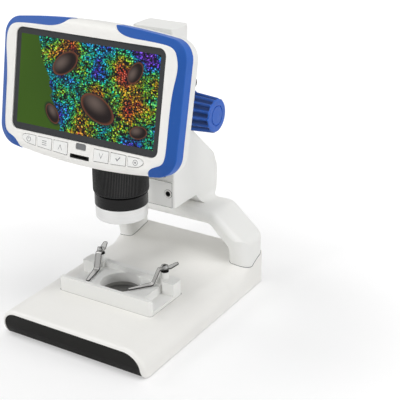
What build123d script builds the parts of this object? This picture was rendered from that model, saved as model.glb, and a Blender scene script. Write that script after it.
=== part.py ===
from build123d import *
import os
from math import atan2, ceil, cos, degrees, hypot, pi, radians, sin, tan

# Desktop microscope with a display head on a rack-driven carriage.
# Millimetres.  X runs across the stand, Y from the front edge of the base to the back, Z up.
# Everything is drawn with Y = 0 at the base's front edge and the table at Z = TABLE.  On export it is moved
# so that the middle of the footprint is at Y = 0 and the table at Z = 0.

# ---------------------------------------------------------------- driving dimensions
# Base
TABLE = -2.0
BASE_HALF = 62.0            # half width
BASE_LENGTH = 173.0
BASE_TOP = 22.0             # height of the flat top
BASE_SHOULDER = 15.0        # radius along the long top edges
REAR_TOP = 27.5             # height of the top where it sweeps up at the back
SHELL_BOTTOM = TABLE + 0.9
SHELL_WALL = 2.4
FRONT_LEAN = 3.0            # the front face leans back by this much over its height
FRONT_LIP = 2.8             # rim of the shell that frames the black end panel
RIM_R = 2.6
FOOT_PAD = 1.3              # height of the rubber feet
BULGE_REAR = 180.0          # back of the column's foot

# Stage
APERTURE_Y = 66.0           # middle of the hole in the stage
AXIS_Y = 70.5               # optical axis of the barrel
STAGE_HALF = 41.0
STAGE_FRONT, STAGE_REAR = 44.5, 86.5
STAGE_FLOOR = 2.4
STAGE_WALL_TOP = 33.9
PLATFORM_TOP = 29.6
PLATFORM_HALF = 28.5
APERTURE_R = 15.0
POST_X, POST_Y, POST_R = 29.0, 81.5, 3.3
POST_TOP = 39.4
CLIP_Z, CLIP_T, CLIP_W = 41.4, 0.8, 5.4
CLIP_SHANK_R = 1.6

# Arm
ARM_FRONT, ARM_REAR = 139.0, BASE_LENGTH
FOOT_INNER = 45.6
BOLT_X, BOLT_Y = 53.5, 160.0
FOOT_CORNER = 10.0          # radius of a foot's outer front corner, seen from above
LEG_KNEE_Z = 43.0
SHOULDER_X, SHOULDER_Z = 36.0, 65.5
ARCH_HALF, ARCH_TOP = 31.5, 54.2
COLUMN_SEAT = 74.5          # height at which the column stands on the arm
ARM_EDGE_FRONT, ARM_EDGE_REAR = 4.6, 3.2
NECK_BLEND = 5.0            # hollow radius where the arm grows out of its neck

# Column
COLUMN_HALF = 17.0
COLUMN_FRONT, COLUMN_BACK = 114.5, 136.2
COLUMN_TOP = 212.0
CAVITY_HALF = 14.0
CAVITY_FRONT, CAVITY_BACK = 117.3, 133.4
CAVITY_LOW, CAVITY_HIGH = 78.0, 208.5
SLOT_HALF, SLOT_LOW, SLOT_HIGH = 8.6, 97.0, 204.0
PANEL_HALF = 15.0
JACK_X, JACK_Z = 11.4, 85.4
TRACK_DEPTH = 1.3           # the front is let in by this much where the neck travels
GUIDE_WALL = 1.0
GUIDE_LOW = 92.0            # the guide ends above the power jack

# Focus drive
MODULE, PINION_TEETH = 0.5, 18
PRESSURE_ANGLE = 20.0
PITCH_R = MODULE * PINION_TEETH / 2
BACKLASH = 0.16
SHAFT_Y, SHAFT_Z, SHAFT_R = 126.4, 150.0, 2.0
RUNNING = 0.05              # radial clearance of the turning fits
RACK_LOW, RACK_HIGH = 138.5, 191.0
KNOB_INNER, KNOB_OUTER = 19.0, 46.5
KNOB_FLUTES = 14
LOCK_Y, LOCK_Z, LOCK_TIP = 124.0, 172.4, 29.6

# Display head, drawn in its own plane: a across, b up, c out of the glass
TILT = 11.0                 # the glass leans back
GLASS_Y, GLASS_Z = 34.4, 186.1
HEAD_HALF, HEAD_HALF_LOW = 73.0, 72.1
HEAD_TOP, HEAD_TOP_SIDE = 44.6, 39.4
HEAD_LOW, HEAD_LOW_SIDE = -52.0, -45.4
HEAD_R_TOP, HEAD_R_LOW = 13.0, 15.0
HEAD_FACE = 0.6             # the frame stands this far in front of the glass
HEAD_SPLIT = -12.0          # joint between front frame and back shell
HEAD_BACK = -25.0
EDGE_R = 5.5
GRIP_T = 2.2                # thickness of the rubber bumpers
GRIP_PROUD = 0.35
CREST_WIDTH, CREST_DROP = 6.2, 3.8      # slope of a bumper from its brow to its crest
FRAME_WALL = 2.4
GLASS_HALF, GLASS_TOP, GLASS_LOW, GLASS_T = 60.0, 34.6, -35.1, 1.1
ACTIVE_W, ACTIVE_H = 112.4, 60.8
KEY_TOP = -37.4
KEY_GAP = 0.32
KEY_PROUD = 0.35

# Lens barrel, heights of the joints between its rings
BARREL_R = 18.9
LIGHT_LOW, LIGHT_HIGH = 83.1, 93.4
SLEEVE_HIGH = 102.6
RING_LOW, RING_HIGH = 103.1, 127.6
TUBE_R = 16.0
RING_RIBS = 60
POD_LOW, POD_HIGH = 128.0, 184.0
POD_HALF = 22.0
POD_REAR = 108.0

HEAD_PLANE = Plane(
    origin=(0, GLASS_Y, GLASS_Z),
    x_dir=(1, 0, 0),
    z_dir=(0, -cos(radians(TILT)), sin(radians(TILT))),
)
parts = {}


# ---------------------------------------------------------------- helpers
def in_head(shape):
    """Move a shape drawn in the head's own plane to its place."""
    return shape.moved(HEAD_PLANE.location)


def slab(x0, x1, y0, y1, z0, z1):
    """Block between two corners."""
    return Pos((x0 + x1) / 2, (y0 + y1) / 2, (z0 + z1) / 2) * Box(x1 - x0, y1 - y0, z1 - z0)


def disc(x, y, z0, z1, r):
    """Upright cylinder between two heights."""
    return Pos(x, y, (z0 + z1) / 2) * Cylinder(r, z1 - z0)


def ring(x, y, z0, z1, r_out, r_in):
    return disc(x, y, z0, z1, r_out) - disc(x, y, z0 - 1, z1 + 1, r_in)


def cross_rod(y, z, x0, x1, r):
    """Cylinder along X between two stations."""
    return Pos((x0 + x1) / 2, y, z) * Rot(0, 90, 0) * Cylinder(r, x1 - x0)


def side_prism(face, half):
    """Extrude a face drawn in (Y, Z) to both sides of the middle plane."""
    return extrude(Plane.YZ * face, half, both=True)


def mirrored(shape):
    return mirror(shape, about=Plane.YZ)


def group(shapes):
    """Separate solids of one node."""
    return Compound(children=[s.solid() if hasattr(s, "solid") else s for s in shapes])


def outline(points, radii):
    """Closed polygon with a radius at each corner; zero leaves a corner sharp."""
    face = make_face(Polyline(*points, close=True))
    for point, radius in zip(points, radii):
        if radius > 0:
            corner = min(face.vertices(), key=lambda v: hypot(v.X - point[0], v.Y - point[1]))
            face = fillet(corner, radius)
    return face


# ---------------------------------------------------------------- base
# Stations of the sweep: Y, height of the top, radius of the long edges
BASE_SWEEP = (
    (122.0, BASE_TOP, BASE_SHOULDER),
    (132.0, BASE_TOP, BASE_SHOULDER),
    (141.0, BASE_TOP + 0.5, BASE_SHOULDER - 1.5),
    (149.0, BASE_TOP + 1.5, 9.5),
    (157.0, BASE_TOP + 2.9, 5.5),
    (165.0, BASE_TOP + 4.3, 3.2),
    (BASE_LENGTH, REAR_TOP, 2.5),
)


def base_section(y, top, radius, inset, bottom):
    half = BASE_HALF - inset
    r = max(radius - inset, 0.6)
    points = [(-half, bottom), (half, bottom), (half, top - inset), (-half, top - inset)]
    return Plane.XZ.offset(-y) * outline(points, (0, 0, r, r))


def base_body(inset, bottom, y_front, y_rear):
    """Outer form of the base, or the same form drawn inwards by a wall."""
    first = BASE_SWEEP[0]
    front = extrude(base_section(first[0], first[1], first[2], inset, bottom), first[0] - y_front)
    stations = [base_section(*s, inset, bottom) for s in BASE_SWEEP]
    body = front + loft(stations)
    return body & slab(-BASE_HALF, BASE_HALF, y_front, y_rear, bottom, REAR_TOP + 10)


def front_profile(shift):
    """Side view of the base: the front leans back and turns under at the bottom."""
    top, knee, under, low = REAR_TOP + 12, 7.0, 12.0, TABLE - 2.5
    lean = FRONT_LEAN / (BASE_TOP - knee)
    edge = Polyline(
        (shift - lean * (top - BASE_TOP), top),
        (shift + FRONT_LEAN, knee),
    )
    turn = ThreePointArc(
        (shift + FRONT_LEAN, knee),
        (shift + FRONT_LEAN + 2.7, 0.9),
        (shift + under, low),
    )
    rest = Polyline((shift + under, low), (BASE_LENGTH + 40, low), (BASE_LENGTH + 40, top),
                    (shift - lean * (top - BASE_TOP), top))
    return side_prism(make_face(Curve() + [edge, turn, rest]), BASE_HALF + 5)


def make_base():
    whole = base_body(0, SHELL_BOTTOM, -12, BASE_LENGTH) & front_profile(0)
    rim = [e for e in whole.edges() if e.center().Y < 6.5 and abs(e.center().Z - 7) > 0.1]
    whole = fillet(rim, RIM_R)
    hollow = base_body(SHELL_WALL, SHELL_BOTTOM - 2, 14.0, BASE_LENGTH - SHELL_WALL)
    mouth = base_body(FRONT_LIP, SHELL_BOTTOM - 2, -12, 15.0)
    cup = disc(0, APERTURE_Y, BASE_TOP - 5.6, BASE_TOP - 1, APERTURE_R + 2.6)
    shell = whole - hollow - mouth + cup
    shell -= disc(0, APERTURE_Y, BASE_TOP - 4.0, BASE_TOP + 5, APERTURE_R + 0.4)
    bosses = [disc(sx * BOLT_X, BOLT_Y, 5.0, BASE_TOP + 1.8, 5.0) for sx in (-1, 1)]
    for boss in bosses:
        shell += boss
    for sx in (-1, 1):
        shell -= disc(sx * BOLT_X, BOLT_Y, TABLE, REAR_TOP + 5, 2.2)
    parts["base_shell"] = shell

    under = TABLE + FOOT_PAD
    panel = base_body(FRONT_LIP + 0.1, under, -12, 40) & (front_profile(0.5) - front_profile(3.6))
    inner = BASE_HALF - FRONT_LIP - 0.2
    plate = slab(-inner, inner, 8.6, BASE_LENGTH - SHELL_WALL - 0.2, under, under + 1.9)
    link = slab(-inner, inner, 5.5, 12.0, under, under + 2.6) & front_profile(0.5)
    tray = plate + link + panel
    screw_spots = [(sx * BOLT_X, y) for sx in (-1, 1) for y in (24.0, BOLT_Y)]
    for x, y in screw_spots:
        tray -= disc(x, y, TABLE, 8, 3.4 if y > 100 else 1.6)
    parts["base_tray"] = tray
    feet = [disc(sx * 46.0, y, TABLE, under, 8.0) for sx in (-1, 1) for y in (30.0, 148.0)]
    parts["rubber_feet"] = group([chamfer(f.faces().sort_by(Axis.Z)[0].edges(), 0.5) for f in feet])
    bolts = []
    for sx in (-1, 1):
        shank = disc(sx * BOLT_X, BOLT_Y, 5.0, 40.0, 2.0)
        head = disc(sx * BOLT_X, BOLT_Y, 2.4, 5.0, 3.2)
        bolts.append(shank + head)
    parts["arm_bolts"] = group(bolts)
    parts["stage_disc"] = disc(0, APERTURE_Y, BASE_TOP - 4.0, BASE_TOP - 2.8, APERTURE_R + 0.2)


# ---------------------------------------------------------------- stage
def make_stage():
    z0 = BASE_TOP
    floor = slab(-STAGE_HALF, STAGE_HALF, STAGE_FRONT, STAGE_REAR, z0, z0 + STAGE_FLOOR)
    wall = [(-STAGE_HALF, z0), (STAGE_HALF, z0), (STAGE_HALF, STAGE_WALL_TOP), (-STAGE_HALF, STAGE_WALL_TOP)]
    front = extrude(Plane.XZ.offset(-STAGE_FRONT - 3.2) * outline(wall, (0, 0, 2.6, 2.6)), 3.2)
    rear = slab(-STAGE_HALF + 4, STAGE_HALF - 4, 80.2, 85.2, z0, STAGE_WALL_TOP)
    plate = floor + front + rear
    foot = PLATFORM_HALF + 2.2
    ramp = [(-foot, z0), (foot, z0), (PLATFORM_HALF, PLATFORM_TOP), (-PLATFORM_HALF, PLATFORM_TOP)]
    ramp_face = make_face(Polyline(*ramp, close=True))
    plate += extrude(Plane.XZ.offset(-80.5) * ramp_face, 80.5 - STAGE_FRONT - 1)
    for sx in (-1, 1):
        x0, x1 = sorted((sx * 31.2, sx * STAGE_HALF))
        plate += slab(x0, x1, 74.4, STAGE_REAR, z0, STAGE_WALL_TOP + 0.3)
        x2, x3 = sorted((sx * 24.6, sx * 33.0))
        plate += slab(x2, x3, 78.0, STAGE_REAR - 0.3, z0, STAGE_WALL_TOP)
        plate += disc(sx * POST_X, POST_Y, z0, POST_TOP, POST_R)
    corners = [
        (-STAGE_HALF, STAGE_FRONT), (STAGE_HALF, STAGE_FRONT),
        (STAGE_HALF, STAGE_REAR), (-STAGE_HALF, STAGE_REAR),
    ]
    plate = plate & extrude(Plane.XY.offset(z0 - 1) * outline(corners, (3.0, 3.0, 3.0, 3.0)), 40)
    plate -= disc(0, APERTURE_Y, z0 - 1, PLATFORM_TOP + 1, APERTURE_R)
    for sx in (-1, 1):
        plate -= disc(sx * POST_X, POST_Y, z0 + 8, POST_TOP + 1, CLIP_SHANK_R)
    rim = [e for e in plate.edges().filter_by(GeomType.CIRCLE)
           if abs(e.radius - APERTURE_R) < 0.01 and abs(e.center().Z - PLATFORM_TOP) < 0.01]
    plate = fillet(rim, 0.5)
    parts["stage_plate"] = plate


def clip_blank():
    """Sprung steel strip along +X from the pivot at the origin: thumb tail, step down, finger."""
    lower = [(-10.8, 2.2), (-4.2, 0.0), (4.6, 0.0), (9.4, -10.4), (11.0, -11.2), (28.6, -11.5)]
    upper = [(s, z + CLIP_T) for s, z in reversed(lower)]
    strip = extrude(Plane.XZ * make_face(Polyline(*(lower + upper), close=True)), CLIP_W / 2, both=True)
    plan = outline(
        [
            (-10.9, -1.6), (-4.0, -2.4), (10.0, -2.4), (29.0, -1.3),
            (29.0, 1.3), (10.0, 2.4), (-4.0, 2.4), (-10.9, 1.6),
        ],
        (1.4, 1.5, 0, 0.8, 0.8, 0, 1.5, 1.4),
    )
    strip = strip & extrude(plan, 20, both=True)
    return strip - Cylinder(CLIP_SHANK_R + RUNNING, 6)


def make_clips():
    for side, sx, angle in (("right", 1, -126.0), ("left", -1, -75.0)):
        place = Pos(sx * POST_X, POST_Y, CLIP_Z) * Rot(0, 0, angle)
        parts["clip_" + side] = place * clip_blank()
        screw = disc(sx * POST_X, POST_Y, BASE_TOP + 8.2, CLIP_Z + CLIP_T + 0.1, CLIP_SHANK_R)
        head = disc(sx * POST_X, POST_Y, CLIP_Z + CLIP_T + 0.1, CLIP_Z + CLIP_T + 2.2, 2.9)
        head = fillet(head.faces().sort_by(Axis.Z)[-1].edges(), 0.7)
        slot = Pos(sx * POST_X, POST_Y, CLIP_Z + CLIP_T + 2.2) * Rot(0, 0, angle + 40) * Box(8, 0.8, 1.6)
        parts["clip_screw_" + side] = screw + head - slot
        washer = ring(sx * POST_X, POST_Y, POST_TOP, POST_TOP + 0.7, 3.0, CLIP_SHANK_R)
        spring = ring(sx * POST_X, POST_Y, POST_TOP + 0.7, CLIP_Z - 0.1, 2.4, CLIP_SHANK_R)
        parts["clip_spring_" + side] = washer + spring


# ---------------------------------------------------------------- arm
def make_arm():
    """Two-legged arch standing on the rear corners of the base, with the neck that takes the column."""
    low = 18.0
    half = [(BASE_HALF, low, 0), (BASE_HALF, LEG_KNEE_Z, 11.0), (SHOULDER_X, SHOULDER_Z, 9.0)]
    inner = [(FOOT_INNER, low, 0), (FOOT_INNER + 1.2, 37.0, 9.0), (ARCH_HALF, ARCH_TOP, 6.0)]
    left = [(-x, z, r) for x, z, r in reversed(half)]
    under_left = [(-x, z, r) for x, z, r in inner]
    loop = half + left + under_left + inner[::-1]
    arch = extrude(
        Plane.XZ.offset(-ARM_REAR) * outline([p[:2] for p in loop], [p[2] for p in loop]),
        ARM_REAR - ARM_FRONT + 2,
    )
    side = outline(
        [
            (146.8, low), (140.2, 50.0), (ARM_FRONT - 0.6, COLUMN_SEAT),
            (ARM_REAR, COLUMN_SEAT), (ARM_REAR, low),
        ],
        (0, 22.0, 0, 0, 0),
    )
    arm = arch & side_prism(side, BASE_HALF + 2)
    for front, radius in ((True, ARM_EDGE_FRONT), (False, ARM_EDGE_REAR)):
        arm = fillet([e for e in arm.edges() if arm_rim(e, front)], radius)
    arm = arm & loft([foot_plan(low, 146.8), foot_plan(COLUMN_SEAT, 135.1)], ruled=True)
    arm = arm + arm_neck()
    crease = [e for e in arm.edges().filter_by(Axis.Y)
              if abs(abs(e.center().X) - COLUMN_HALF) < 0.1 and abs(e.center().Z - SHOULDER_Z) < 0.1]
    arm = fillet(crease, NECK_BLEND)
    arm -= base_body(0, SHELL_BOTTOM, -12, BASE_LENGTH + 3)
    for sx in (-1, 1):
        arm -= disc(sx * BOLT_X, BOLT_Y, 10, 40.2, 2.0)
    parts["arm"] = arm


def foot_plan(z, front):
    """View of both feet from above, whose outer front corners are well rounded."""
    points = [(-BASE_HALF, front), (BASE_HALF, front), (BASE_HALF, ARM_REAR), (-BASE_HALF, ARM_REAR)]
    return Plane.XY.offset(z) * outline(points, (FOOT_CORNER, FOOT_CORNER, 3.0, 3.0))


def arm_neck():
    """Block between the arch and the column: it leans in at the front and tapers under at the back."""
    profile = outline(
        [
            (145.8, COLUMN_SEAT), (155.8, 62.8), (155.8, 57.5), (168.0, 57.5),
            (BULGE_REAR - 1.0, 67.0), (BULGE_REAR, COLUMN_SEAT),
        ],
        (0, 3.0, 0, 3.0, 5.0, 0),
    )
    neck = side_prism(profile, COLUMN_HALF)
    rear = [e for e in neck.edges() if abs(abs(e.center().X) - COLUMN_HALF) < 0.01
            and e.center().Y > 173.5 and e.center().Z < COLUMN_SEAT - 0.1]
    return fillet(rear, 2.6)


def arm_rim(edge, front):
    """Whether an edge runs along the arm's front (or back) outline, above the base."""
    spot = edge.center()
    on_face = spot.Y < 148.5 if front else spot.Y > ARM_REAR - 0.01
    return on_face and 17.9 < spot.Z < COLUMN_SEAT - 0.5 and not (abs(edge.tangent_at(0.5).Y) > 0.9)


# ---------------------------------------------------------------- column
def make_column():
    profile = outline(
        [
            (COLUMN_FRONT, COLUMN_SEAT), (COLUMN_FRONT, COLUMN_TOP), (COLUMN_BACK, COLUMN_TOP),
            (COLUMN_BACK, 135.0), (174.6, 101.5), (BULGE_REAR, 90.0), (BULGE_REAR, COLUMN_SEAT),
        ],
        (0, 0, 0, 14.0, 12.0, 10.0, 0),
    )
    body = side_prism(profile, COLUMN_HALF)
    front_edges = [e for e in body.edges().filter_by(Axis.Z) if abs(e.center().Y - COLUMN_FRONT) < 0.01]
    body = fillet(front_edges, 1.6)
    rear_edges = [e for e in body.edges() if abs(abs(e.center().X) - COLUMN_HALF) < 0.01
                  and e.center().Y > COLUMN_BACK - 0.5 and COLUMN_SEAT + 1 < e.center().Z < COLUMN_TOP - 1]
    body = fillet(rear_edges, 2.6)
    top = body.faces().sort_by(Axis.Z)[-1]
    body = fillet(top.edges(), 0.9)
    cavity = slab(-CAVITY_HALF, CAVITY_HALF, CAVITY_FRONT, CAVITY_BACK, CAVITY_LOW, CAVITY_HIGH)
    slot = slab(-SLOT_HALF, SLOT_HALF, COLUMN_FRONT - 1, CAVITY_FRONT + 1, SLOT_LOW, SLOT_HIGH)
    slot = fillet(slot.edges().filter_by(Axis.Y), 1.5)
    hatch = slab(-CAVITY_HALF, CAVITY_HALF, CAVITY_BACK - 1, COLUMN_BACK + 2, 137.0, 205.0)
    rebate = slab(-PANEL_HALF, PANEL_HALF, COLUMN_FRONT - 1, CAVITY_FRONT + 0.1, COLUMN_SEAT - 1, 95.0)
    track_back = COLUMN_FRONT + TRACK_DEPTH
    track = slab(-PANEL_HALF, PANEL_HALF, COLUMN_FRONT - 1, track_back, 94.9, CAVITY_HIGH - 2.5)
    body = body - cavity - slot - hatch - rebate - track
    bush_bore = cross_rod(SHAFT_Y, SHAFT_Z, -30, 30, 5.0)
    lock_bore = cross_rod(LOCK_Y, LOCK_Z, CAVITY_HALF - 1, 30, 2.0 + RUNNING)
    parts["column_housing"] = body - bush_bore - lock_bore

    cover = slab(-CAVITY_HALF + 0.15, CAVITY_HALF - 0.15, CAVITY_BACK + 0.1, COLUMN_BACK, 137.15, 204.85)
    cover = fillet(cover.edges().filter_by(Axis.Z), 0.6)
    parts["column_back_cover"] = cover

    panel = slab(-PANEL_HALF + 0.15, PANEL_HALF - 0.15, COLUMN_FRONT + 0.1, CAVITY_FRONT, COLUMN_SEAT, 94.8)
    panel -= Pos(JACK_X, COLUMN_FRONT, JACK_Z) * Rot(90, 0, 0) * Cylinder(3.3, 12)
    parts["column_front_panel"] = panel
    jack_at = Pos(JACK_X, COLUMN_FRONT + 4.6, JACK_Z) * Rot(90, 0, 0)
    jack = jack_at * (Cylinder(2.55, 9.4) - Pos(0, 0, 1.2) * Cylinder(2.0, 9.4))
    rim_at = Pos(JACK_X, COLUMN_FRONT + 0.4, JACK_Z) * Rot(90, 0, 0)
    flange = rim_at * (Cylinder(3.2, 1.2) - Cylinder(2.0, 3))
    pin = jack_at * Pos(0, 0, -0.6) * Cylinder(0.6, 7.6)
    parts["power_jack"] = jack + flange + pin


# ---------------------------------------------------------------- focus drive
def involute(base_r, r):
    """Polar angle by which an involute has run out at radius r."""
    t = (max(r / base_r, 1.0) ** 2 - 1) ** 0.5
    return t - atan2(t, 1)


def make_pinion():
    """Spur pinion with true involute flanks, thinned by the backlash."""
    base_r = PITCH_R * cos(radians(PRESSURE_ANGLE))
    tip_r, root_r = PITCH_R + MODULE * 0.95, PITCH_R - MODULE * 1.25
    half = pi / (2 * PINION_TEETH) - BACKLASH / (2 * PITCH_R) + involute(base_r, PITCH_R)
    flank = [base_r + (tip_r - base_r) * k / 3 for k in range(4)]
    points = []
    for tooth in range(PINION_TEETH):
        middle = 2 * pi * (tooth + 0.5) / PINION_TEETH + pi
        side = [(root_r, half)] + [(r, half - involute(base_r, r)) for r in flank]
        for r, a in side:
            points.append((r * cos(middle - a), r * sin(middle - a)))
        for r, a in reversed(side):
            points.append((r * cos(middle + a), r * sin(middle + a)))
    gear = extrude(Plane.YZ * make_face(Polyline(*points, close=True)), 3.5, both=True)
    gear = Pos(0, SHAFT_Y, SHAFT_Z) * gear
    hub = cross_rod(SHAFT_Y, SHAFT_Z, 3.5, 7.0, 3.4)
    parts["pinion"] = gear + hub - cross_rod(SHAFT_Y, SHAFT_Z, -9, 9, SHAFT_R)


def make_rack():
    """Straight rack on the back of the carriage, in mesh with the pinion at rest."""
    pitch = pi * MODULE
    line = SHAFT_Y - PITCH_R
    tip, root, back = line + MODULE * 0.95, line - MODULE * 1.25, line - 2.3
    slope = tan(radians(PRESSURE_ANGLE))
    at_root = pitch / 4 + MODULE * 1.25 * slope - BACKLASH / 2
    at_tip = pitch / 4 - MODULE * 0.95 * slope - BACKLASH / 2
    points = [(back, RACK_LOW), (root, RACK_LOW)]
    first = ceil((RACK_LOW + at_root - SHAFT_Z) / pitch)
    last = int((RACK_HIGH - at_root - SHAFT_Z) / pitch)
    for k in range(first, last + 1):
        z = SHAFT_Z + k * pitch
        points += [(root, z - at_root), (tip, z - at_tip), (tip, z + at_tip), (root, z + at_root)]
    points += [(root, RACK_HIGH), (back, RACK_HIGH)]
    parts["rack"] = extrude(Plane.YZ * make_face(Polyline(*points, close=True)), 4.0, both=True)


def knob_form():
    """Right-hand focus knob: flange, tapered fluted grip, smooth dished end."""
    flange_r, grip_r, end_r = 15.8, 14.3, 12.9
    x0, x1 = KNOB_INNER, KNOB_OUTER
    outlines = Curve() + [
        Line((x0, 0), (x0, flange_r - 0.8)),
        Line((x0, flange_r - 0.8), (x0 + 0.8, flange_r)),
        Line((x0 + 0.8, flange_r), (x0 + 3.2, flange_r)),
        ThreePointArc((x0 + 3.2, flange_r), (x0 + 4.6, flange_r - 0.5), (x0 + 5.4, grip_r)),
        Line((x0 + 5.4, grip_r), (x1 - 2.8, end_r)),
        ThreePointArc((x1 - 2.8, end_r), (x1 - 0.8, end_r - 0.9), (x1, end_r - 2.9)),
        Line((x1, end_r - 2.9), (x1 + 0.5, 0)),
        Line((x1 + 0.5, 0), (x0, 0)),
    ]
    body = revolve(make_face(outlines), Axis.X)
    lean = degrees(atan2(grip_r - end_r, x1 - 2.8 - x0 - 5.4))
    flute_r, flute_length = 3.0, 13.4
    flute = Cylinder(flute_r, flute_length) + Pos(0, 0, flute_length / 2) * Sphere(flute_r)
    flute = Pos(x0 + 5.8 + flute_length / 2, 0, grip_r + flute_r - 1.65) * Rot(0, 90 + lean, 0) * flute
    for k in range(KNOB_FLUTES):
        body -= Rot(360 / KNOB_FLUTES * (k + 0.5), 0, 0) * flute
    groove = Pos(x1 + 0.1, 0, 0) * Rot(0, 90, 0) * (Cylinder(7.5, 1.2) - Cylinder(6.9, 2))
    body -= groove
    body = Pos(0, SHAFT_Y, SHAFT_Z) * body
    return body - cross_rod(SHAFT_Y, SHAFT_Z, 0, x1 - 5, SHAFT_R)


def make_focus_drive():
    parts["pinion_shaft"] = cross_rod(SHAFT_Y, SHAFT_Z, -(KNOB_OUTER - 5), KNOB_OUTER - 5, SHAFT_R)
    knob = knob_form()
    parts["knob_right"] = knob
    parts["knob_left"] = mirrored(knob)
    for side, sx in (("right", 1), ("left", -1)):
        x0, x1 = sorted((sx * (CAVITY_HALF - 1.0), sx * COLUMN_HALF))
        x2, x3 = sorted((sx * COLUMN_HALF, sx * (COLUMN_HALF + 1.2)))
        bush = cross_rod(SHAFT_Y, SHAFT_Z, x0, x1, 5.0) + cross_rod(SHAFT_Y, SHAFT_Z, x2, x3, 7.0)
        parts["bush_" + side] = bush - cross_rod(SHAFT_Y, SHAFT_Z, -30, 30, SHAFT_R + RUNNING)
    make_pinion()
    make_rack()

    tip = CAVITY_HALF - 0.6
    screw = Curve() + [
        Polyline((tip, 0), (tip, 2.0), (COLUMN_HALF + 0.3, 2.0), (COLUMN_HALF + 0.3, 3.0),
                 (19.4, 3.0), (19.4, 4.6), (LOCK_TIP - 2.7, 4.6)),
        ThreePointArc((LOCK_TIP - 2.7, 4.6), (LOCK_TIP - 1.1, 4.0), (LOCK_TIP - 0.4, 2.6)),
        Polyline((LOCK_TIP - 0.4, 2.6), (LOCK_TIP, 0), (tip, 0)),
    ]
    screw = revolve(make_face(screw), Axis.X)
    notch = Pos(LOCK_TIP - 5.0, 0, 5.25) * Rot(0, 90, 0) * Cylinder(0.9, 11.0)
    for k in range(12):
        screw -= Rot(30 * k, 0, 0) * notch
    parts["lock_screw"] = Pos(0, LOCK_Y, LOCK_Z) * screw


def make_guide():
    """Black channel in the column: two side rails and the web that closes the view below the shaft."""
    inner = CAVITY_HALF - GUIDE_WALL
    guide = slab(-CAVITY_HALF, CAVITY_HALF, 124.4, 125.6, GUIDE_LOW, 140.0)
    for sx in (-1, 1):
        x0, x1 = sorted((sx * inner, sx * CAVITY_HALF))
        guide += slab(x0, x1, CAVITY_FRONT, 124.5, GUIDE_LOW, 143.0)
    parts["guide_channel"] = guide


def make_carriage():
    line = SHAFT_Y - PITCH_R
    back = line - 2.3
    plate = slab(-12.8, 12.8, CAVITY_FRONT + 0.3, back, 128.0, 194.0)
    neck = slab(-8.2, 8.2, POD_REAR, CAVITY_FRONT + 0.4, 138.0, 182.0)
    carriage = plate + fillet(neck.edges().filter_by(Axis.Y), 1.2)
    parts["carriage"] = carriage


# ---------------------------------------------------------------- display head
def head_face(grow):
    """Front view of the head: bowed top and bottom, slightly tapered sides."""
    hs, hl = HEAD_HALF + grow, HEAD_HALF_LOW + grow
    top, top_side = HEAD_TOP + grow, HEAD_TOP_SIDE + grow
    low, low_side = HEAD_LOW - grow, HEAD_LOW_SIDE - grow
    face = make_face(Curve() + [
        ThreePointArc((-hs, top_side), (0, top), (hs, top_side)),
        Line((hs, top_side), (hl, low_side)),
        ThreePointArc((hl, low_side), (0, low), (-hl, low_side)),
        Line((-hl, low_side), (-hs, top_side)),
    ])
    face = fillet([v for v in face.vertices() if v.Y > 0], HEAD_R_TOP + grow)
    return fillet([v for v in face.vertices() if v.Y < 0], HEAD_R_LOW + grow)


def head_block(grow, front, back, edge_r):
    """Head outline as a block whose front edge is rounded."""
    block = extrude(Plane.XY.offset(back) * head_face(grow), front - back)
    return fillet(block.faces().sort_by(Axis.Z)[-1].edges(), edge_r)


def crested_block(grow, front, back):
    """Head outline as a block whose front falls away to a crest near its side."""
    block = extrude(Plane.XY.offset(back) * head_face(grow), front - back)
    top = block.faces().sort_by(Axis.Z)[-1]
    block = chamfer(top.edges(), CREST_WIDTH, CREST_DROP, reference=top)
    crest = [e for e in block.edges() if abs(e.start_point().Z - e.end_point().Z) < 0.01
             and back + 1 < e.center().Z < front - 1]
    block = fillet(crest, 1.2)
    brow = block.faces().sort_by(Axis.Z)[-1]
    return fillet(brow.edges(), 3.0)


def grip_mask():
    """Front view of the right-hand bumper's patch, cut through the head."""
    edge = Spline(
        (17.6, 47.5), (20.6, 42.2), (27.0, 39.2), (40.0, 37.9), (56.5, 37.2),
        (65.4, 34.6), (68.4, 28.0), (67.7, 13.0), (66.5, -8.0), (66.3, -29.0),
        (64.0, -38.0), (58.0, -41.2), (54.6, -43.8), (54.0, -50.5),
    )
    rest = Polyline((54.0, -50.5), (54.0, -62.0), (90.0, -62.0), (90.0, 60.0), (17.6, 60.0), (17.6, 47.5))
    return extrude(Plane.XY.offset(HEAD_SPLIT + 1.2) * make_face(Curve() + [edge, rest]), 16)


KEY_FORMS = {
    # corner points in (a, b), corner radii
    "inner": ([(11.0, KEY_TOP), (22.9, KEY_TOP), (22.9, -45.0), (11.0, -45.6)], (0.5, 0.5, 0.5, 0.5)),
    "middle": ([(24.5, KEY_TOP), (36.6, KEY_TOP), (36.6, -44.1), (24.5, -44.9)], (0.5, 0.5, 0.5, 0.5)),
    "outer": ([(38.2, KEY_TOP), (47.6, KEY_TOP), (51.4, -39.6), (46.8, -43.0), (38.2, -44.0)],
              (0.5, 3.0, 1.5, 5.0, 0.5)),
}
KEYS = {
    "key_power": ("outer", -1), "key_menu": ("middle", -1), "key_up": ("inner", -1),
    "key_down": ("inner", 1), "key_ok": ("middle", 1), "key_record": ("outer", 1),
}


def key_face(form, side, grow):
    points, radii = KEY_FORMS[form]
    face = outline(points, radii)
    if grow:
        face = offset(face, amount=grow, kind=Kind.INTERSECTION)
    return mirror(face, about=Plane.YZ) if side < 0 else face


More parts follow.
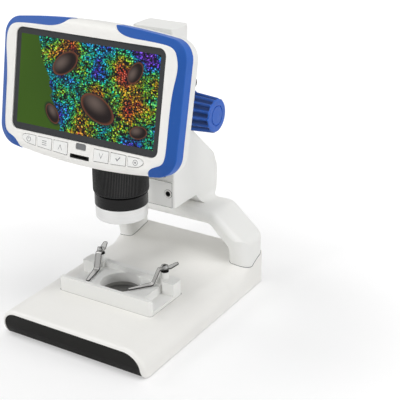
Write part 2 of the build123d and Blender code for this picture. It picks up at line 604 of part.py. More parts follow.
def make_head_frame():
    outer = head_block(0, HEAD_FACE, HEAD_SPLIT, EDGE_R)
    core = head_block(-GRIP_T, HEAD_FACE - 2.0, HEAD_SPLIT - 1, EDGE_R - 1.0)
    proud = crested_block(GRIP_PROUD, HEAD_FACE + GRIP_PROUD, HEAD_SPLIT)
    mask = grip_mask()
    groove = mask - core
    frame = outer - groove - mirrored(groove)
    room = extrude(Plane.XY.offset(HEAD_SPLIT - 1) * head_face(-GRIP_T - FRAME_WALL), -HEAD_SPLIT + 1 - 1.8)
    pocket_points = [
        (-GLASS_HALF, GLASS_LOW), (GLASS_HALF, GLASS_LOW),
        (GLASS_HALF, GLASS_TOP), (-GLASS_HALF, GLASS_TOP),
    ]
    glass_face = outline(pocket_points, (5.0, 5.0, 5.0, 5.0))
    pocket = extrude(Plane.XY.offset(-GLASS_T) * offset(glass_face, amount=0.15), 4)
    window = extrude(Plane.XY.offset(-5) * offset(glass_face, amount=-1.6), 6)
    frame = frame - room - pocket - window
    for form, side in KEYS.values():
        frame -= extrude(Plane.XY.offset(-4) * key_face(form, side, KEY_GAP), 6)
    frame -= Pos(0, -38.1, -1) * extrude(RectangleRounded(8.5, 4.4, 1.1), 4, both=True)
    frame -= Pos(-0.6, -45.3, -1) * extrude(RectangleRounded(15.8, 2.9, 0.5), 4, both=True)
    parts["display_frame"] = in_head(frame)
    grip = (proud & mask) - core
    parts["bumper_right"] = in_head(grip)
    parts["bumper_left"] = in_head(mirrored(grip))

    glass = extrude(Plane.XY.offset(-GLASS_T) * glass_face, GLASS_T)
    parts["screen_glass"] = in_head(chamfer(glass.faces().sort_by(Axis.Z)[-1].edges(), 0.2))
    half_w, half_h = ACTIVE_W / 2, ACTIVE_H / 2
    parts["lcd_panel"] = in_head(slab(-half_w, half_w, -half_h, half_h, -4.6, -GLASS_T - 0.05))
    ir = extrude(Plane.XY.offset(-1.8) * RectangleRounded(8.3, 4.2, 1.0), 2.1)
    parts["ir_window"] = in_head(Pos(0, -38.1, 0) * fillet(ir.faces().sort_by(Axis.Z)[-1].edges(), 0.3))
    socket = extrude(Plane.XY.offset(-5.0) * RectangleRounded(15.6, 2.7, 0.4), 5.5)
    socket -= Pos(0, 0.1, -0.5) * Box(12.2, 1.1, 8.0)
    parts["card_socket"] = in_head(Pos(-0.6, -45.3, 0) * socket)


def make_keys():
    for name, (form, side) in KEYS.items():
        stem = extrude(Plane.XY.offset(-2.0) * key_face(form, side, 0), 2.0 + HEAD_FACE + KEY_PROUD)
        stem = fillet(stem.faces().sort_by(Axis.Z)[-1].edges(), 0.25)
        flange = extrude(Plane.XY.offset(-2.8) * key_face(form, side, 0.55), 0.95)
        parts[name] = in_head(stem + flange)
    board = slab(-50, 50, -43.6, -36.9, -6.0, -4.8)
    board -= slab(-9.2, 8.2, -47, -42, -8, -4)
    for sx in (-1, 1):
        for x in (17.0, 30.5, 44.0):
            board += Pos(sx * x, -40.6, -4.2) * Cylinder(1.7, 1.4)
    parts["key_board"] = in_head(board)


def make_head_back():
    """Back shell: a dished cover that closes the head and tapers to the rear."""
    def layer(grow, c):
        return Plane.XY.offset(c) * head_face(grow)
    outer = loft([layer(0, HEAD_SPLIT - 5.5), layer(-9.0, HEAD_BACK)], ruled=True)
    outer = outer + extrude(layer(0, HEAD_SPLIT - 5.5), 5.5)
    outer = fillet(outer.faces().sort_by(Axis.Z)[0].edges(), 3.0)
    inner = extrude(layer(-GRIP_T - FRAME_WALL, HEAD_SPLIT + 1), -7.0)
    taper = [layer(-GRIP_T - FRAME_WALL, HEAD_SPLIT - 6), layer(-11.6, HEAD_BACK + 2.4)]
    inner = inner + loft(taper, ruled=True)
    shell = outer - inner
    for x, y in ((-52, 26), (52, 26), (-52, -32), (52, -32)):
        shell -= Pos(x, y, HEAD_BACK) * Cylinder(2.6, 3.0)
    parts["display_back"] = in_head(shell)
    screws = []
    for x, y in ((-52, 26), (52, 26), (-52, -32), (52, -32)):
        head = Pos(x, y, HEAD_BACK + 0.75) * Cylinder(2.4, 1.4)
        screws.append(in_head(head - Pos(x, y, HEAD_BACK) * (Box(3.2, 0.7, 0.9) + Box(0.7, 3.2, 0.9))))
    parts["display_screws"] = group(screws)
    parts["main_board"] = in_head(slab(-50, 50, -26, 30, -9.6, -8.0))
    parts["battery"] = in_head(slab(-32, 30, -18, 22, -16.0, -9.8))


def make_pod():
    """Housing behind the display that carries the lens barrel and bolts to the carriage."""
    plan = outline(
        [(-POD_HALF, 40), (POD_HALF, 40), (POD_HALF, POD_REAR), (-POD_HALF, POD_REAR)],
        (0, 0, 9.0, 9.0),
    )
    pod = extrude(Plane.XY.offset(POD_LOW) * plan, POD_HIGH - POD_LOW)
    pod = fillet(pod.faces().sort_by(Axis.Z)[-1].edges(), 2.5)
    behind = in_head(slab(-80, 80, -90, 60, HEAD_BACK, 40))
    pod -= behind
    pod -= slab(-POD_HALF + 2.6, POD_HALF - 2.6, 40, POD_REAR - 2.6, POD_LOW + 3, POD_HIGH - 2.6)
    pod -= disc(0, AXIS_Y, POD_LOW - 1, POD_LOW + 5, TUBE_R)
    parts["camera_pod"] = pod


# ---------------------------------------------------------------- lens barrel
def make_barrel():
    tube = ring(0, AXIS_Y, LIGHT_HIGH - 5.4, 139.0, TUBE_R, TUBE_R - 2.5)
    tube += ring(0, AXIS_Y, 97.0, 100.0, TUBE_R - 2.0, 8.4)
    parts["lens_tube"] = tube
    points = []
    count = 2 * RING_RIBS
    for k in range(count):
        r = 20.25 if k % 2 else 19.55
        points += [(r * cos(2 * pi * (k - 0.26) / count), r * sin(2 * pi * (k - 0.26) / count)),
                   (r * cos(2 * pi * (k + 0.26) / count), r * sin(2 * pi * (k + 0.26) / count))]
    ribbed = make_face(Polyline(*points, close=True))
    ribs = Pos(0, AXIS_Y, RING_LOW + 1.2) * extrude(ribbed, RING_HIGH - RING_LOW - 2.4)
    lips = disc(0, AXIS_Y, RING_LOW, RING_LOW + 1.2, 19.9)
    lips += disc(0, AXIS_Y, RING_HIGH - 1.2, RING_HIGH, 19.9)
    parts["zoom_ring"] = ribs + lips - disc(0, AXIS_Y, RING_LOW - 1, RING_HIGH + 1, TUBE_R + RUNNING)
    sleeve = disc(0, AXIS_Y, LIGHT_HIGH, SLEEVE_HIGH, BARREL_R + 0.4)
    sleeve = chamfer(sleeve.faces().sort_by(Axis.Z)[-1].edges(), 0.6)
    parts["barrel_sleeve"] = sleeve - disc(0, AXIS_Y, 80, 110, TUBE_R)

    cup = disc(0, AXIS_Y, LIGHT_LOW, LIGHT_HIGH, BARREL_R)
    cup = fillet(cup.faces().sort_by(Axis.Z)[0].edges(), 0.8)
    cup -= disc(0, AXIS_Y, LIGHT_LOW - 1, LIGHT_LOW + 4.8, BARREL_R - 1.6)
    cup -= disc(0, AXIS_Y, LIGHT_LOW, LIGHT_HIGH + 1, TUBE_R)
    parts["light_ring"] = cup
    parts["light_window"] = ring(0, AXIS_Y, LIGHT_LOW + 0.6, LIGHT_LOW + 1.6, BARREL_R - 1.7, 9.4)
    parts["light_board"] = ring(0, AXIS_Y, LIGHT_LOW + 3.2, LIGHT_LOW + 4.4, BARREL_R - 1.7, 9.4)
    leds = []
    for k in range(8):
        a = 2 * pi * (k + 0.5) / 8
        leds.append(disc(13.4 * cos(a), AXIS_Y + 13.4 * sin(a), LIGHT_LOW + 1.9, LIGHT_LOW + 3.2, 1.5))
    parts["lamps"] = group(leds)
    lens_cell = ring(0, AXIS_Y, LIGHT_LOW + 0.6, 100.0, 9.2, 7.2) - ring(0, AXIS_Y, 97.0, 101.0, 12, 8.4)
    parts["lens_cell"] = lens_cell
    glass = Pos(0, AXIS_Y, 91.0) * Cylinder(7.2, 3.4)
    bulge = Pos(0, AXIS_Y, 91.0 + 10.2) * Sphere(13.6)
    parts["objective_lens"] = (glass + (Pos(0, AXIS_Y, 88.8) * Cylinder(7.2, 1.0))) & bulge
    parts["sensor_board"] = slab(-13, 13, AXIS_Y - 12, AXIS_Y + 12, 139.2, 140.8)


def main():
    make_base()
    make_stage()
    make_clips()
    make_arm()
    make_column()
    make_focus_drive()
    make_guide()
    make_carriage()
    make_head_frame()
    make_keys()
    make_head_back()
    make_pod()
    make_barrel()
    y_front = parts["base_shell"].bounding_box().min.Y
    y_mid = (y_front + parts["column_housing"].bounding_box().max.Y) / 2
    os.makedirs("parts", exist_ok=True)
    for name, shape in parts.items():
        export_step(shape.moved(Location((0, -y_mid, -TABLE))), "parts/" + name + ".step")
        print(name, round(shape.volume))


main()
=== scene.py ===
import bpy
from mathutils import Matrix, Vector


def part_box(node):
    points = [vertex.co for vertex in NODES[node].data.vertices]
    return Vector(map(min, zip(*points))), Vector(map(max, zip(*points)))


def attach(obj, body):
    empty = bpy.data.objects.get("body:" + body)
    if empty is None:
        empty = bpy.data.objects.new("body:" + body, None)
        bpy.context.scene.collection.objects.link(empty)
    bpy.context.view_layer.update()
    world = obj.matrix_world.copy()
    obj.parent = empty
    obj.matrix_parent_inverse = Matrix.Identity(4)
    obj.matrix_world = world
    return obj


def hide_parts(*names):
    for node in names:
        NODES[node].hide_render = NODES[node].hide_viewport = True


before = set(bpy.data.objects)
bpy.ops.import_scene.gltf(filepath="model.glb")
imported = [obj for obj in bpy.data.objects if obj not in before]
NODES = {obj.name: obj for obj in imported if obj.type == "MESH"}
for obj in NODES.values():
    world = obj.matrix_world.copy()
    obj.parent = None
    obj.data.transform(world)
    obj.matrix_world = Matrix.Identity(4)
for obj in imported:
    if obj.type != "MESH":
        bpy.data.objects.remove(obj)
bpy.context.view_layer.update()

from math import cos, hypot, pi, radians, sin

import bmesh
import bpy
from bpy.props import FloatProperty, FloatVectorProperty, IntProperty, PointerProperty
from mathutils import Matrix, Vector
from mathutils.bvhtree import BVHTree

bl_info = {
    "name": "Display Microscope",
    "version": (1, 0, 0),
    "blender": (4, 5, 0),
    "location": "View3D > Sidebar > Microscope",
    "description": "Dresses the microscope's solids with their finishes and fine pieces, and sets its studio",
    "category": "Object",
}

MM = 0.001


def middle(node):
    low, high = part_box(node)
    return (Vector(low) + Vector(high)) / 2


# The head's own plane: across, up the glass, out of the glass
LEAN = radians(11.0)
ACROSS = Vector((1, 0, 0))
UP_GLASS = Vector((0, sin(LEAN), cos(LEAN)))
OUT_OF_GLASS = Vector((0, -cos(LEAN), sin(LEAN)))
HALF_GLASS = 0.55 * MM  # half the glass's thickness
GLASS_RISE = 0.25 * MM  # from the glass's middle up to the plane's origin
GLASS_FACE = middle("screen_glass") + HALF_GLASS * OUT_OF_GLASS + GLASS_RISE * UP_GLASS
HEAD_AXES = Matrix((ACROSS, UP_GLASS, OUT_OF_GLASS)).transposed()
HEAD_MATRIX = Matrix.Translation(GLASS_FACE) @ HEAD_AXES.to_4x4()

# Points on the axes that the round pieces are turned about
SHAFT = Vector((0, *middle("pinion_shaft").yz))
LOCK = Vector((0, *middle("lock_screw").yz))
BARREL = middle("light_ring")

KEYS = ("key_power", "key_menu", "key_up", "key_down", "key_ok", "key_record")
SIGN_FOOT = 0.97  # height of a key's face out of the glass, in millimetres
STROKE = 0.24  # width of a sign's strokes, where half its height is 1
# Clips: the turn that brings each one's finger back along x, in degrees, and the painted shade on its slope,
# as a factor on the steel's colour
CLIPS = {"left": (75.0, 0.34), "right": (126.0, 0.9)}
# Lights: name, place and side of the square, in metres
LIGHTS = (
    ("top", (0.95, -1.00, 4.80), 1.8), ("front", (-1.60, -4.55, 1.50), 0.8),
    ("side", (2.80, 0.45, 0.90), 0.8), ("left", (-3.40, -1.00, 3.00), 1.6),
)
AIM = Vector((0, 0, 0.1))  # what every light points at


# ---------------------------------------------------------------- settings
class StandSettings(bpy.types.PropertyGroup):
    """Colours of the stand and its stage."""

    shell: FloatVectorProperty(
        name="Shell", description="Colour of the white mouldings", subtype="COLOR", min=0, max=1,
        default=(0.862, 0.852, 0.820))
    dark: FloatVectorProperty(
        name="Dark mouldings", description="Colour of the black mouldings", subtype="COLOR", min=0, max=1,
        default=(0.009, 0.0085, 0.0075))
    steel: FloatVectorProperty(
        name="Clip steel", description="Colour of the sprung steel clips", subtype="COLOR", min=0, max=1,
        default=(0.62, 0.615, 0.60))


class HeadSettings(bpy.types.PropertyGroup):
    """Colours of the display head, and its key signs."""

    blue: FloatVectorProperty(
        name="Bumper blue", description="Colour of the rubber bumpers", subtype="COLOR", min=0, max=1,
        default=(0.020, 0.100, 0.400))
    ink: FloatVectorProperty(
        name="Key signs", description="Colour of the printed key signs", subtype="COLOR", min=0, max=1,
        default=(0.30, 0.30, 0.31))
    sign_size: FloatProperty(
        name="Sign size", description="Height of the signs printed on the keys", subtype="DISTANCE",
        default=3.8 * MM, min=1 * MM, max=5 * MM)
    sign_depth: FloatProperty(
        name="Ink depth", description="Thickness of the printed signs", subtype="DISTANCE",
        default=0.05 * MM, min=0.01 * MM, max=0.3 * MM)


class KnobSettings(bpy.types.PropertyGroup):
    """Colour and flutes of the focus knobs."""

    blue: FloatVectorProperty(
        name="Knob blue", description="Colour of the focus knobs", subtype="COLOR", min=0, max=1,
        default=(0.018, 0.092, 0.410))
    flutes: IntProperty(name="Flutes", description="Number of flutes round a knob", default=14, min=3, max=60)
    depth: FloatProperty(
        name="Flute depth", description="Depth of a knob's flutes", subtype="DISTANCE",
        default=1.9 * MM, min=0, max=3 * MM)


class BarrelSettings(bpy.types.PropertyGroup):
    """Grip of the barrel's ring and its lamps."""

    ribs: IntProperty(
        name="Ribs", description="Number of ribs round the grip ring", default=112, min=8, max=120)
    rib_width: FloatProperty(
        name="Rib width", description="Width of one rib", subtype="DISTANCE",
        default=0.62 * MM, min=0.2 * MM, max=3 * MM)
    lamps: IntProperty(name="Lamps", description="Number of lamps round the lens", default=8, min=1, max=24)


class StudioSettings(bpy.types.PropertyGroup):
    """Light, floor and camera."""

    lens: FloatProperty(
        name="Lens", description="Focal length in millimetres", subtype="DISTANCE_CAMERA",
        default=90.02, min=20, max=300)
    position: FloatVectorProperty(
        name="Camera", description="Place of the camera", subtype="TRANSLATION", size=3,
        default=(0.39024, -0.55747, 0.38168))
    azimuth: FloatProperty(
        name="Azimuth", description="Direction the camera stands in", subtype="ANGLE",
        default=radians(31.091))
    elevation: FloatProperty(
        name="Elevation", description="Height angle of the camera", subtype="ANGLE",
        default=radians(23.333))
    top_power: FloatProperty(
        name="Top light", description="Power of the top light in watts", subtype="POWER",
        default=88.0, min=0)
    front_power: FloatProperty(
        name="Front light", description="Power of the front light in watts", subtype="POWER",
        default=50.0, min=0)
    side_power: FloatProperty(
        name="Side light", description="Power of the side light in watts", subtype="POWER",
        default=21.0, min=0)
    left_power: FloatProperty(
        name="Left light", description="Power of the left light in watts", subtype="POWER",
        default=38.0, min=0)
    sky: FloatProperty(name="Sky", description="Strength of the even light", default=0.31, min=0)


# ---------------------------------------------------------------- node wiring
def maths(operation, swapped=False):
    """An arithmetic method that adds a Math node, with its two values in either order."""
    def method(self, *other):
        values = (*other, self) if swapped else (self, *other)
        return self.math(operation, *values)
    return method


class Wire:
    """A node socket that takes part in Python arithmetic."""

    def __init__(self, graph, socket):
        self.graph = graph
        self.socket = socket

    def math(self, operation, *values):
        return self.graph.add("ShaderNodeMath", {"operation": operation}, dict(enumerate(values)))

    __add__, __radd__ = maths("ADD"), maths("ADD", True)
    __sub__, __rsub__ = maths("SUBTRACT"), maths("SUBTRACT", True)
    __mul__, __rmul__ = maths("MULTIPLY"), maths("MULTIPLY", True)
    __truediv__, __rtruediv__ = maths("DIVIDE"), maths("DIVIDE", True)
    __pow__, __abs__ = maths("POWER"), maths("ABSOLUTE")
    __gt__, __lt__ = maths("GREATER_THAN"), maths("LESS_THAN")
    at_least = maths("MAXIMUM")

    def ramp(self, low, high):
        """0 below low, 1 above high, smooth between."""
        inputs = {"Value": self, "From Min": low, "From Max": high}
        return self.graph.add("ShaderNodeMapRange", {"interpolation_type": "SMOOTHSTEP"}, inputs)

    def outlet(self, key):
        """Another output of the same node."""
        return Wire(self.graph, self.socket.node.outputs[key])


def length(x, y):
    """Length of the vector that has these two parts."""
    return (x * x + y * y) ** 0.5


class Graph:
    """A node tree under construction."""

    def __init__(self, tree):
        self.tree = tree

    def add(self, kind, settings=None, inputs=None, output=0):
        """A node of this type, its settings made first and then its sockets; gives one of its outputs."""
        node = self.tree.nodes.new(kind)
        for key, value in (settings or {}).items():
            if key == "stops":
                self.set_stops(node.color_ramp, value)
            else:
                setattr(node, key, value)
        self.fill(node, inputs or {})
        return Wire(self, node.outputs[output]) if node.outputs else None

    def fill(self, node, inputs):
        """Gives a node's sockets their values or links."""
        for key, value in inputs.items():
            socket = node.inputs[key]
            if isinstance(value, Wire):
                self.tree.links.new(value.socket, socket)
            elif hasattr(value, "__len__") and len(value) == 3 and socket.type == "RGBA":
                socket.default_value = (*value, 1.0)
            else:
                socket.default_value = value

    @staticmethod
    def set_stops(ramp, stops):
        while len(ramp.elements) < len(stops):
            ramp.elements.new(0.5)
        for element, (place, colour) in zip(ramp.elements, stops):
            element.position = place
            element.color = (*colour, 1.0)

    # -- patterns that the finishes share
    def place(self):
        """Object coordinates, in metres."""
        return self.add("ShaderNodeTexCoord", output="Object")

    def offset(self, place, origin):
        """Vector from an origin to a place."""
        return self.add("ShaderNodeVectorMath", {"operation": "SUBTRACT"}, {0: place, 1: origin})

    def shifted(self, origin, scale=(1, 1, 1), turn=(0, 0, 0)):
        """Object coordinates about another origin."""
        moved = self.offset(self.place(), tuple(origin))
        return self.add("ShaderNodeMapping", {}, {"Vector": moved, "Rotation": turn, "Scale": scale})

    def split(self, vector):
        x = self.add("ShaderNodeSeparateXYZ", {}, {0: vector})
        return x, x.outlet(1), x.outlet(2)

    def along(self, origin, direction):
        """Distance from a point, measured in one direction."""
        inputs = {0: self.offset(self.place(), tuple(origin)), 1: tuple(direction)}
        return self.add("ShaderNodeVectorMath", {"operation": "DOT_PRODUCT"}, inputs, "Value")

    def joined(self, x, y, z=0.0):
        """Vector from its three parts."""
        return self.add("ShaderNodeCombineXYZ", {}, {0: x, 1: y, 2: z})

    def noise(self, scale, detail=3.0, vector=None):
        inputs = {"Vector": vector or self.place(), "Scale": scale, "Detail": detail, "Roughness": 0.55}
        return self.add("ShaderNodeTexNoise", {}, inputs)

    def cells(self, scale, feature="F1", output="Distance", vector=None):
        inputs = {"Vector": vector or self.place(), "Scale": scale}
        return self.add("ShaderNodeTexVoronoi", {"feature": feature}, inputs, output)

    def mix(self, factor, first, second):
        """Colour mix; 6, 7 and 2 are the node's colour sockets."""
        return self.add("ShaderNodeMix", {"data_type": "RGBA"}, {"Factor": factor, 6: first, 7: second}, 2)

    def tinted(self, factor, colour, low, high):
        """The colour, scaled from low to high by the factor."""
        return self.mix(factor, scaled(colour, low), scaled(colour, high))

    def bump(self, height, strength, distance):
        inputs = {"Height": height, "Strength": strength, "Distance": distance}
        return self.add("ShaderNodeBump", {}, inputs)

    def scratches(self, scale, amount):
        """Thin hairlines in two directions, 1 on a line."""
        first = self.noise(scale, 2.0, self.shifted((0, 0, 0), (0.06, 1.0, 1.3), (0.3, 0.2, 0.7)))
        second = self.noise(scale * 1.3, 2.0, self.shifted((0, 0, 0), (1.0, 0.05, 1.1), (0.1, 0.5, -0.5)))
        return (abs(first - 0.5) < amount) + (abs(second - 0.5) < amount * 0.8)


# ---------------------------------------------------------------- finishes
# Heights of the bumps: moulded grain, and brushed lines or copper tracks
GRAIN = 0.2 * MM
FINE_LINE = 0.1 * MM

# Lit part of the glass: half its width and half its height
LIT_ACROSS, LIT_UP = 56.2 * MM, 30.4 * MM
# Colours that the opal grains run through
OPAL = (
    (0.00, (0.260, 0.060, 0.900)), (0.15, (0.020, 0.100, 1.000)), (0.30, (0.010, 0.620, 1.000)),
    (0.46, (0.010, 0.850, 0.300)), (0.62, (0.350, 0.850, 0.010)), (0.78, (1.000, 0.520, 0.010)),
    (1.00, (0.800, 0.090, 0.030)),
)
# Seeds on the screen: middle across and up, half length, half width in millimetres, turn in degrees
SEEDS = (
    (-18.0, 15.0, 11.5, 6.6, 35), (10.5, -11.0, 14.5, 8.2, -24), (38.0, 16.5, 8.0, 4.8, 58),
    (-26.0, -20.0, 7.5, 4.4, -50), (44.0, -21.0, 6.8, 4.2, 12),
)


def grey(tone):
    return tone, tone, tone


def scaled(colour, factor):
    return tuple(min(1.0, c * factor) for c in colour)


def moulded(g, colour, roughness, tint=0.06, grain=2600.0, depth=0.03, worn=0.5, coat=0.0, specular=0.5):
    """Moulded plastic: spark-eroded grain, broad drift of tone, rubbed patches and hairlines."""
    drift, speck = g.noise(14.0, 3.0), g.noise(grain, 2.0)
    rubbed_and_sheen, hair = g.noise(75.0, 4.0).ramp(0.46, 0.72), g.scratches(160.0, 0.0035)
    tone = g.tinted(drift, colour, 1 - tint, 1 + tint * 0.4)
    scratched = scaled(colour, 1.5 if max(colour) < 0.3 else 0.82)
    wear = 0.10 * hair * worn - 0.07 * rubbed_and_sheen * worn
    sockets = {
        "Base Color": g.mix(hair * (0.25 * worn), tone, scratched),
        "Roughness": roughness + 0.09 * (drift - 0.5) + wear + 0.05 * (speck - 0.5),
        "Normal": g.bump(speck - 0.35 * hair, depth, GRAIN),
        "Specular IOR Level": specular}
    return sockets | {"Coat Weight": coat, "Coat Roughness": 0.12} if coat else sockets


def rubber(g, colour, roughness, painted_light_band=None):
    """Soft rubber with dust held in its grain, and painted light on its sides: the last argument gives the
    heights out of the glass behind which they are painted paler.
    """
    drift, grain = g.noise(18.0, 4.0), g.noise(1900.0, 3.0)
    dust = g.noise(240.0, 5.0).ramp(0.60, 0.80)
    tone = g.tinted(drift, colour, 0.90, 1.08)
    if painted_light_band:
        # painted light: the bumper's sides, behind the given heights, are paler
        painted_side_light = 1 - g.along(GLASS_FACE, OUT_OF_GLASS).ramp(*painted_light_band)
        tone = g.mix(painted_side_light, tone, scaled(colour, 1.35))
    return {
        "Base Color": g.mix(0.03 * dust, tone, (0.40, 0.46, 0.60)),
        "Roughness": roughness + 0.10 * (drift - 0.5) + 0.12 * dust + 0.05 * (grain - 0.5),
        "Normal": g.bump(grain, 0.05, GRAIN),
        "Specular IOR Level": 0.20}


def brushed(g, colour, roughness, scale):
    """Brushed metal: fine lines along the axis whose scale is smallest, with fingerprints."""
    line = g.noise(2400.0, 2.0, g.shifted((0, 0, 0), scale))
    prints, drift = g.noise(90.0, 4.0).ramp(0.52, 0.74), g.noise(30.0, 2.0)
    return {
        "Base Color": g.tinted(line, colour, 0.88, 1.08),
        "Roughness": roughness + 0.12 * (line - 0.5) + 0.08 * prints + 0.06 * (drift - 0.5),
        "Normal": g.bump(line, 0.05, FINE_LINE),
        "Metallic": 1.0}


def sprung_sheet(g, colour, pivot, turn, slope):
    """Brushed sheet steel of a clip, with painted shade along its stamped edges and down its slope.

    The finger runs along x from the pivot, and its sizes are in millimetres."""
    half, tip, tail, rim = 2.4, 28.4, -10.3, 0.42
    tip_taper, tail_taper = (10.0, 0.058), (-4.0, 0.116)
    slope_top, slope_foot = 4.8, 9.6
    x, y, _ = g.split(g.shifted(pivot, (1, 1, 1), turn))
    x, y = x / MM, abs(y) / MM
    half -= tip_taper[1] * (x - tip_taper[0]).at_least(0.0)
    half -= tail_taper[1] * (tail_taper[0] - x).at_least(0.0)
    # painted shade: near-black along the stamped edges
    edge = 1 - (1 - (half - y < rim)) * (x < tip) * (x > tail)
    line = g.noise(3800.0, 2.0, g.shifted(pivot, (0.03, 1, 0.03), turn))
    prints = g.noise(90.0, 4.0).ramp(0.52, 0.74)
    tone = g.tinted(line, colour, 0.88, 1.08)
    # painted shade down the slope, by the clip's own factor
    tone = g.mix((x > slope_top) * (x < slope_foot), tone, scaled(colour, slope))
    return {
        "Base Color": g.mix(edge * 0.9, tone, grey(0.03)),
        "Roughness": 0.40 + 0.12 * (line - 0.5) + 0.08 * prints,
        "Normal": g.bump(line, 0.05, FINE_LINE),
        "Metallic": 1.0}


def recessed_steel(g, pivot, reach):
    """Plated screw, with painted shade down in its recess."""
    x, y, _ = g.split(g.shifted(pivot))
    # painted shade in the screw's recess
    painted_recess_shade = 1 - length(x, y).ramp(0.7 * reach, reach)
    line = g.noise(1600.0, 2.0)
    tone = g.mix(line, (0.34, 0.34, 0.335), (0.46, 0.46, 0.455))
    return {
        "Base Color": g.mix(painted_recess_shade, tone, grey(0.008)),
        "Roughness": 0.26 + 0.1 * (line - 0.5) + 0.3 * painted_recess_shade,
        "Metallic": 1.0}


def turned(g, colour, roughness, axis, centre, pitch, metallic=1.0, specular=0.5):
    """Metal or plastic off the lathe: rings about an axis, and a few handling marks."""
    stretch = tuple(1.0 if k == axis else 0.02 for k in range(3))
    rings = g.noise(pitch, 2.0, g.shifted(centre, stretch))
    radial, marks = g.noise(60.0, 3.0), g.scratches(210.0, 0.003)
    tone = g.tinted(rings * 0.8 + 0.2 * radial, colour, 0.78, 1.12)
    return {
        "Base Color": tone,
        "Roughness": roughness + 0.18 * (rings - 0.5) + 0.08 * (radial - 0.5) + 0.1 * marks,
        "Normal": g.bump(rings - 0.4 * marks, 0.12, GRAIN),
        "Metallic": metallic,
        "Specular IOR Level": specular}


def circuit(g, mask_colour):
    """Solder mask over copper tracks, with tinned pads."""
    track = g.cells(420.0, "DISTANCE_TO_EDGE").ramp(0.02, 0.05)
    pad = g.cells(300.0) < 0.16
    tone = g.mix(track, scaled(mask_colour, 1.7), mask_colour)
    return {
        "Base Color": g.mix(pad, tone, (0.62, 0.60, 0.56)),
        "Metallic": pad * 0.9,
        "Roughness": 0.34 + 0.1 * g.noise(200.0) - 0.08 * pad,
        "Normal": g.bump(track, 0.2, FINE_LINE)}


def clear_glass(g, colour, roughness):
    """Coated lens or window glass."""
    smear = g.noise(70.0, 4.0)
    return {
        "Base Color": g.tinted(smear, colour, 0.94, 1.0),
        "Roughness": roughness + 0.05 * smear,
        "Transmission Weight": 0.85,
        "IOR": 1.5}


def opal_grains(g, across, up):
    """Beads lit from one side with black between them, their hue drifting over the field."""
    sway, swirl = g.noise(26.0, 2.0), g.noise(60.0, 2.0)
    place = g.joined(across + 0.012 * sway, up * 1.2 + 0.010 * swirl)
    bead = g.cells(820.0, vector=place)
    hue_shift, spark, _ = g.split(g.cells(820.0, "F1", "Color", place))
    relief = (bead * -1.0).ramp(-0.70, -0.22) * (0.16 + 1.1 * spark * spark)
    field = 3.2 * (g.noise(27.0, 1.0) - 0.5) + 0.8 * (g.noise(100.0, 2.0) - 0.5) + 0.22 * (hue_shift - 0.5)
    opal = g.add("ShaderNodeValToRGB", {"stops": OPAL}, {"Fac": field + 0.47 - 4.0 * across})
    grains = g.mix(relief, (0.001, 0.002, 0.004), opal)
    glint = (bead * -1.0).ramp(-0.22, -0.04) * (spark > 0.72)
    return g.mix(glint * 0.7, grains, (0.85, 0.92, 0.95))


def seed_on(g, picture, across, up, seed):
    """Lays one dark seed on the picture, with a shaded rim and a broad sheen."""
    a, b, long, short, turn = seed
    c, d = cos(radians(turn)), sin(radians(turn))
    u = ((across - a * MM) * c + (up - b * MM) * d) / (long * MM)
    v = ((up - b * MM) * c - (across - a * MM) * d) / (short * MM)
    reach = length(u, v)
    sheen = length(u + 0.25, v - 0.3)
    skin = g.mix(sheen.ramp(0.0, 0.95), (0.105, 0.076, 0.064), (0.010, 0.005, 0.004))
    skin = g.mix(reach.ramp(0.80, 1.0), skin, (0.130, 0.040, 0.018))
    shade = 1 - 0.75 * (1 - reach.ramp(1.0, 1.35))
    picture = g.mix(shade, (0.002, 0.003, 0.010), picture)
    return g.mix(reach < 1.0, picture, skin)


def lit_screen(g):
    """Cover glass over the lit panel: dark border, and a micrograph of seeds lying on opal grains."""
    across, up = g.along(GLASS_FACE, ACROSS), g.along(GLASS_FACE, UP_GLASS)
    panel = (abs(across) < LIT_ACROSS) * (abs(up) < LIT_UP)
    grains = opal_grains(g, across, up)

    # soft green distance behind a ragged edge
    edge = up * 0.42 + across + 0.020 * (g.noise(55.0, 4.0) - 0.5) + 0.004 * (g.noise(500.0, 3.0) - 0.5)
    far = (edge * -1.0).ramp(30.0 * MM, 31.5 * MM)
    haze = g.mix(g.noise(14.0, 1.0), (0.016, 0.048, 0.001), (0.050, 0.120, 0.004))
    picture = g.mix(far, grains, haze)
    for seed in SEEDS:
        picture = seed_on(g, picture, across, up, seed)

    border = g.mix(g.noise(40.0), (0.040, 0.042, 0.045), (0.052, 0.054, 0.057))
    return {
        "Base Color": g.mix(panel, border, (0.004, 0.004, 0.005)),
        "Emission Color": g.mix(panel, grey(0), picture),
        "Emission Strength": 1.1,
        "Roughness": 0.10 + 0.07 * g.noise(60.0, 4.0),
        "Specular IOR Level": 0.15}


def white_grain(g, colour):
    """Drift, hairlines and tone of a white moulding, and the bump of its grain."""
    drift, speck = g.noise(14.0, 3.0), g.noise(2400.0, 2.0)
    hair = g.scratches(160.0, 0.0035)
    tone = g.tinted(drift, colour, 0.95, 1.02)
    tone = g.mix(hair * 0.12, tone, scaled(colour, 0.82))
    return drift, hair, tone, g.bump(speck - 0.35 * hair, 0.025, GRAIN)


def gapped(g, colour, roughness, rim):
    """White moulding whose walls in the gaps round the keys are dark with shade and dust.

    The gaps lie under the rim's height, in a band on either side of the middle, in millimetres."""
    floor, near, far, top = -4.5, 9.8, 52.3, -36.7
    across, up = abs(g.along(GLASS_FACE, ACROSS)) / MM, g.along(GLASS_FACE, UP_GLASS) / MM
    height = g.along(GLASS_FACE, OUT_OF_GLASS) / MM
    foot = 0.055 * (across - 11) - 46.0
    gap = (height < rim) * (height > floor) * (across > near) * (across < far) * (up < top) * (up > foot)
    drift, hair, tone, bump = white_grain(g, colour)
    return {
        "Base Color": g.mix(gap * 0.93, tone, grey(0.03)),
        "Roughness": roughness + 0.09 * (drift - 0.5) + 0.05 * hair + 0.2 * gap,
        "Normal": bump}


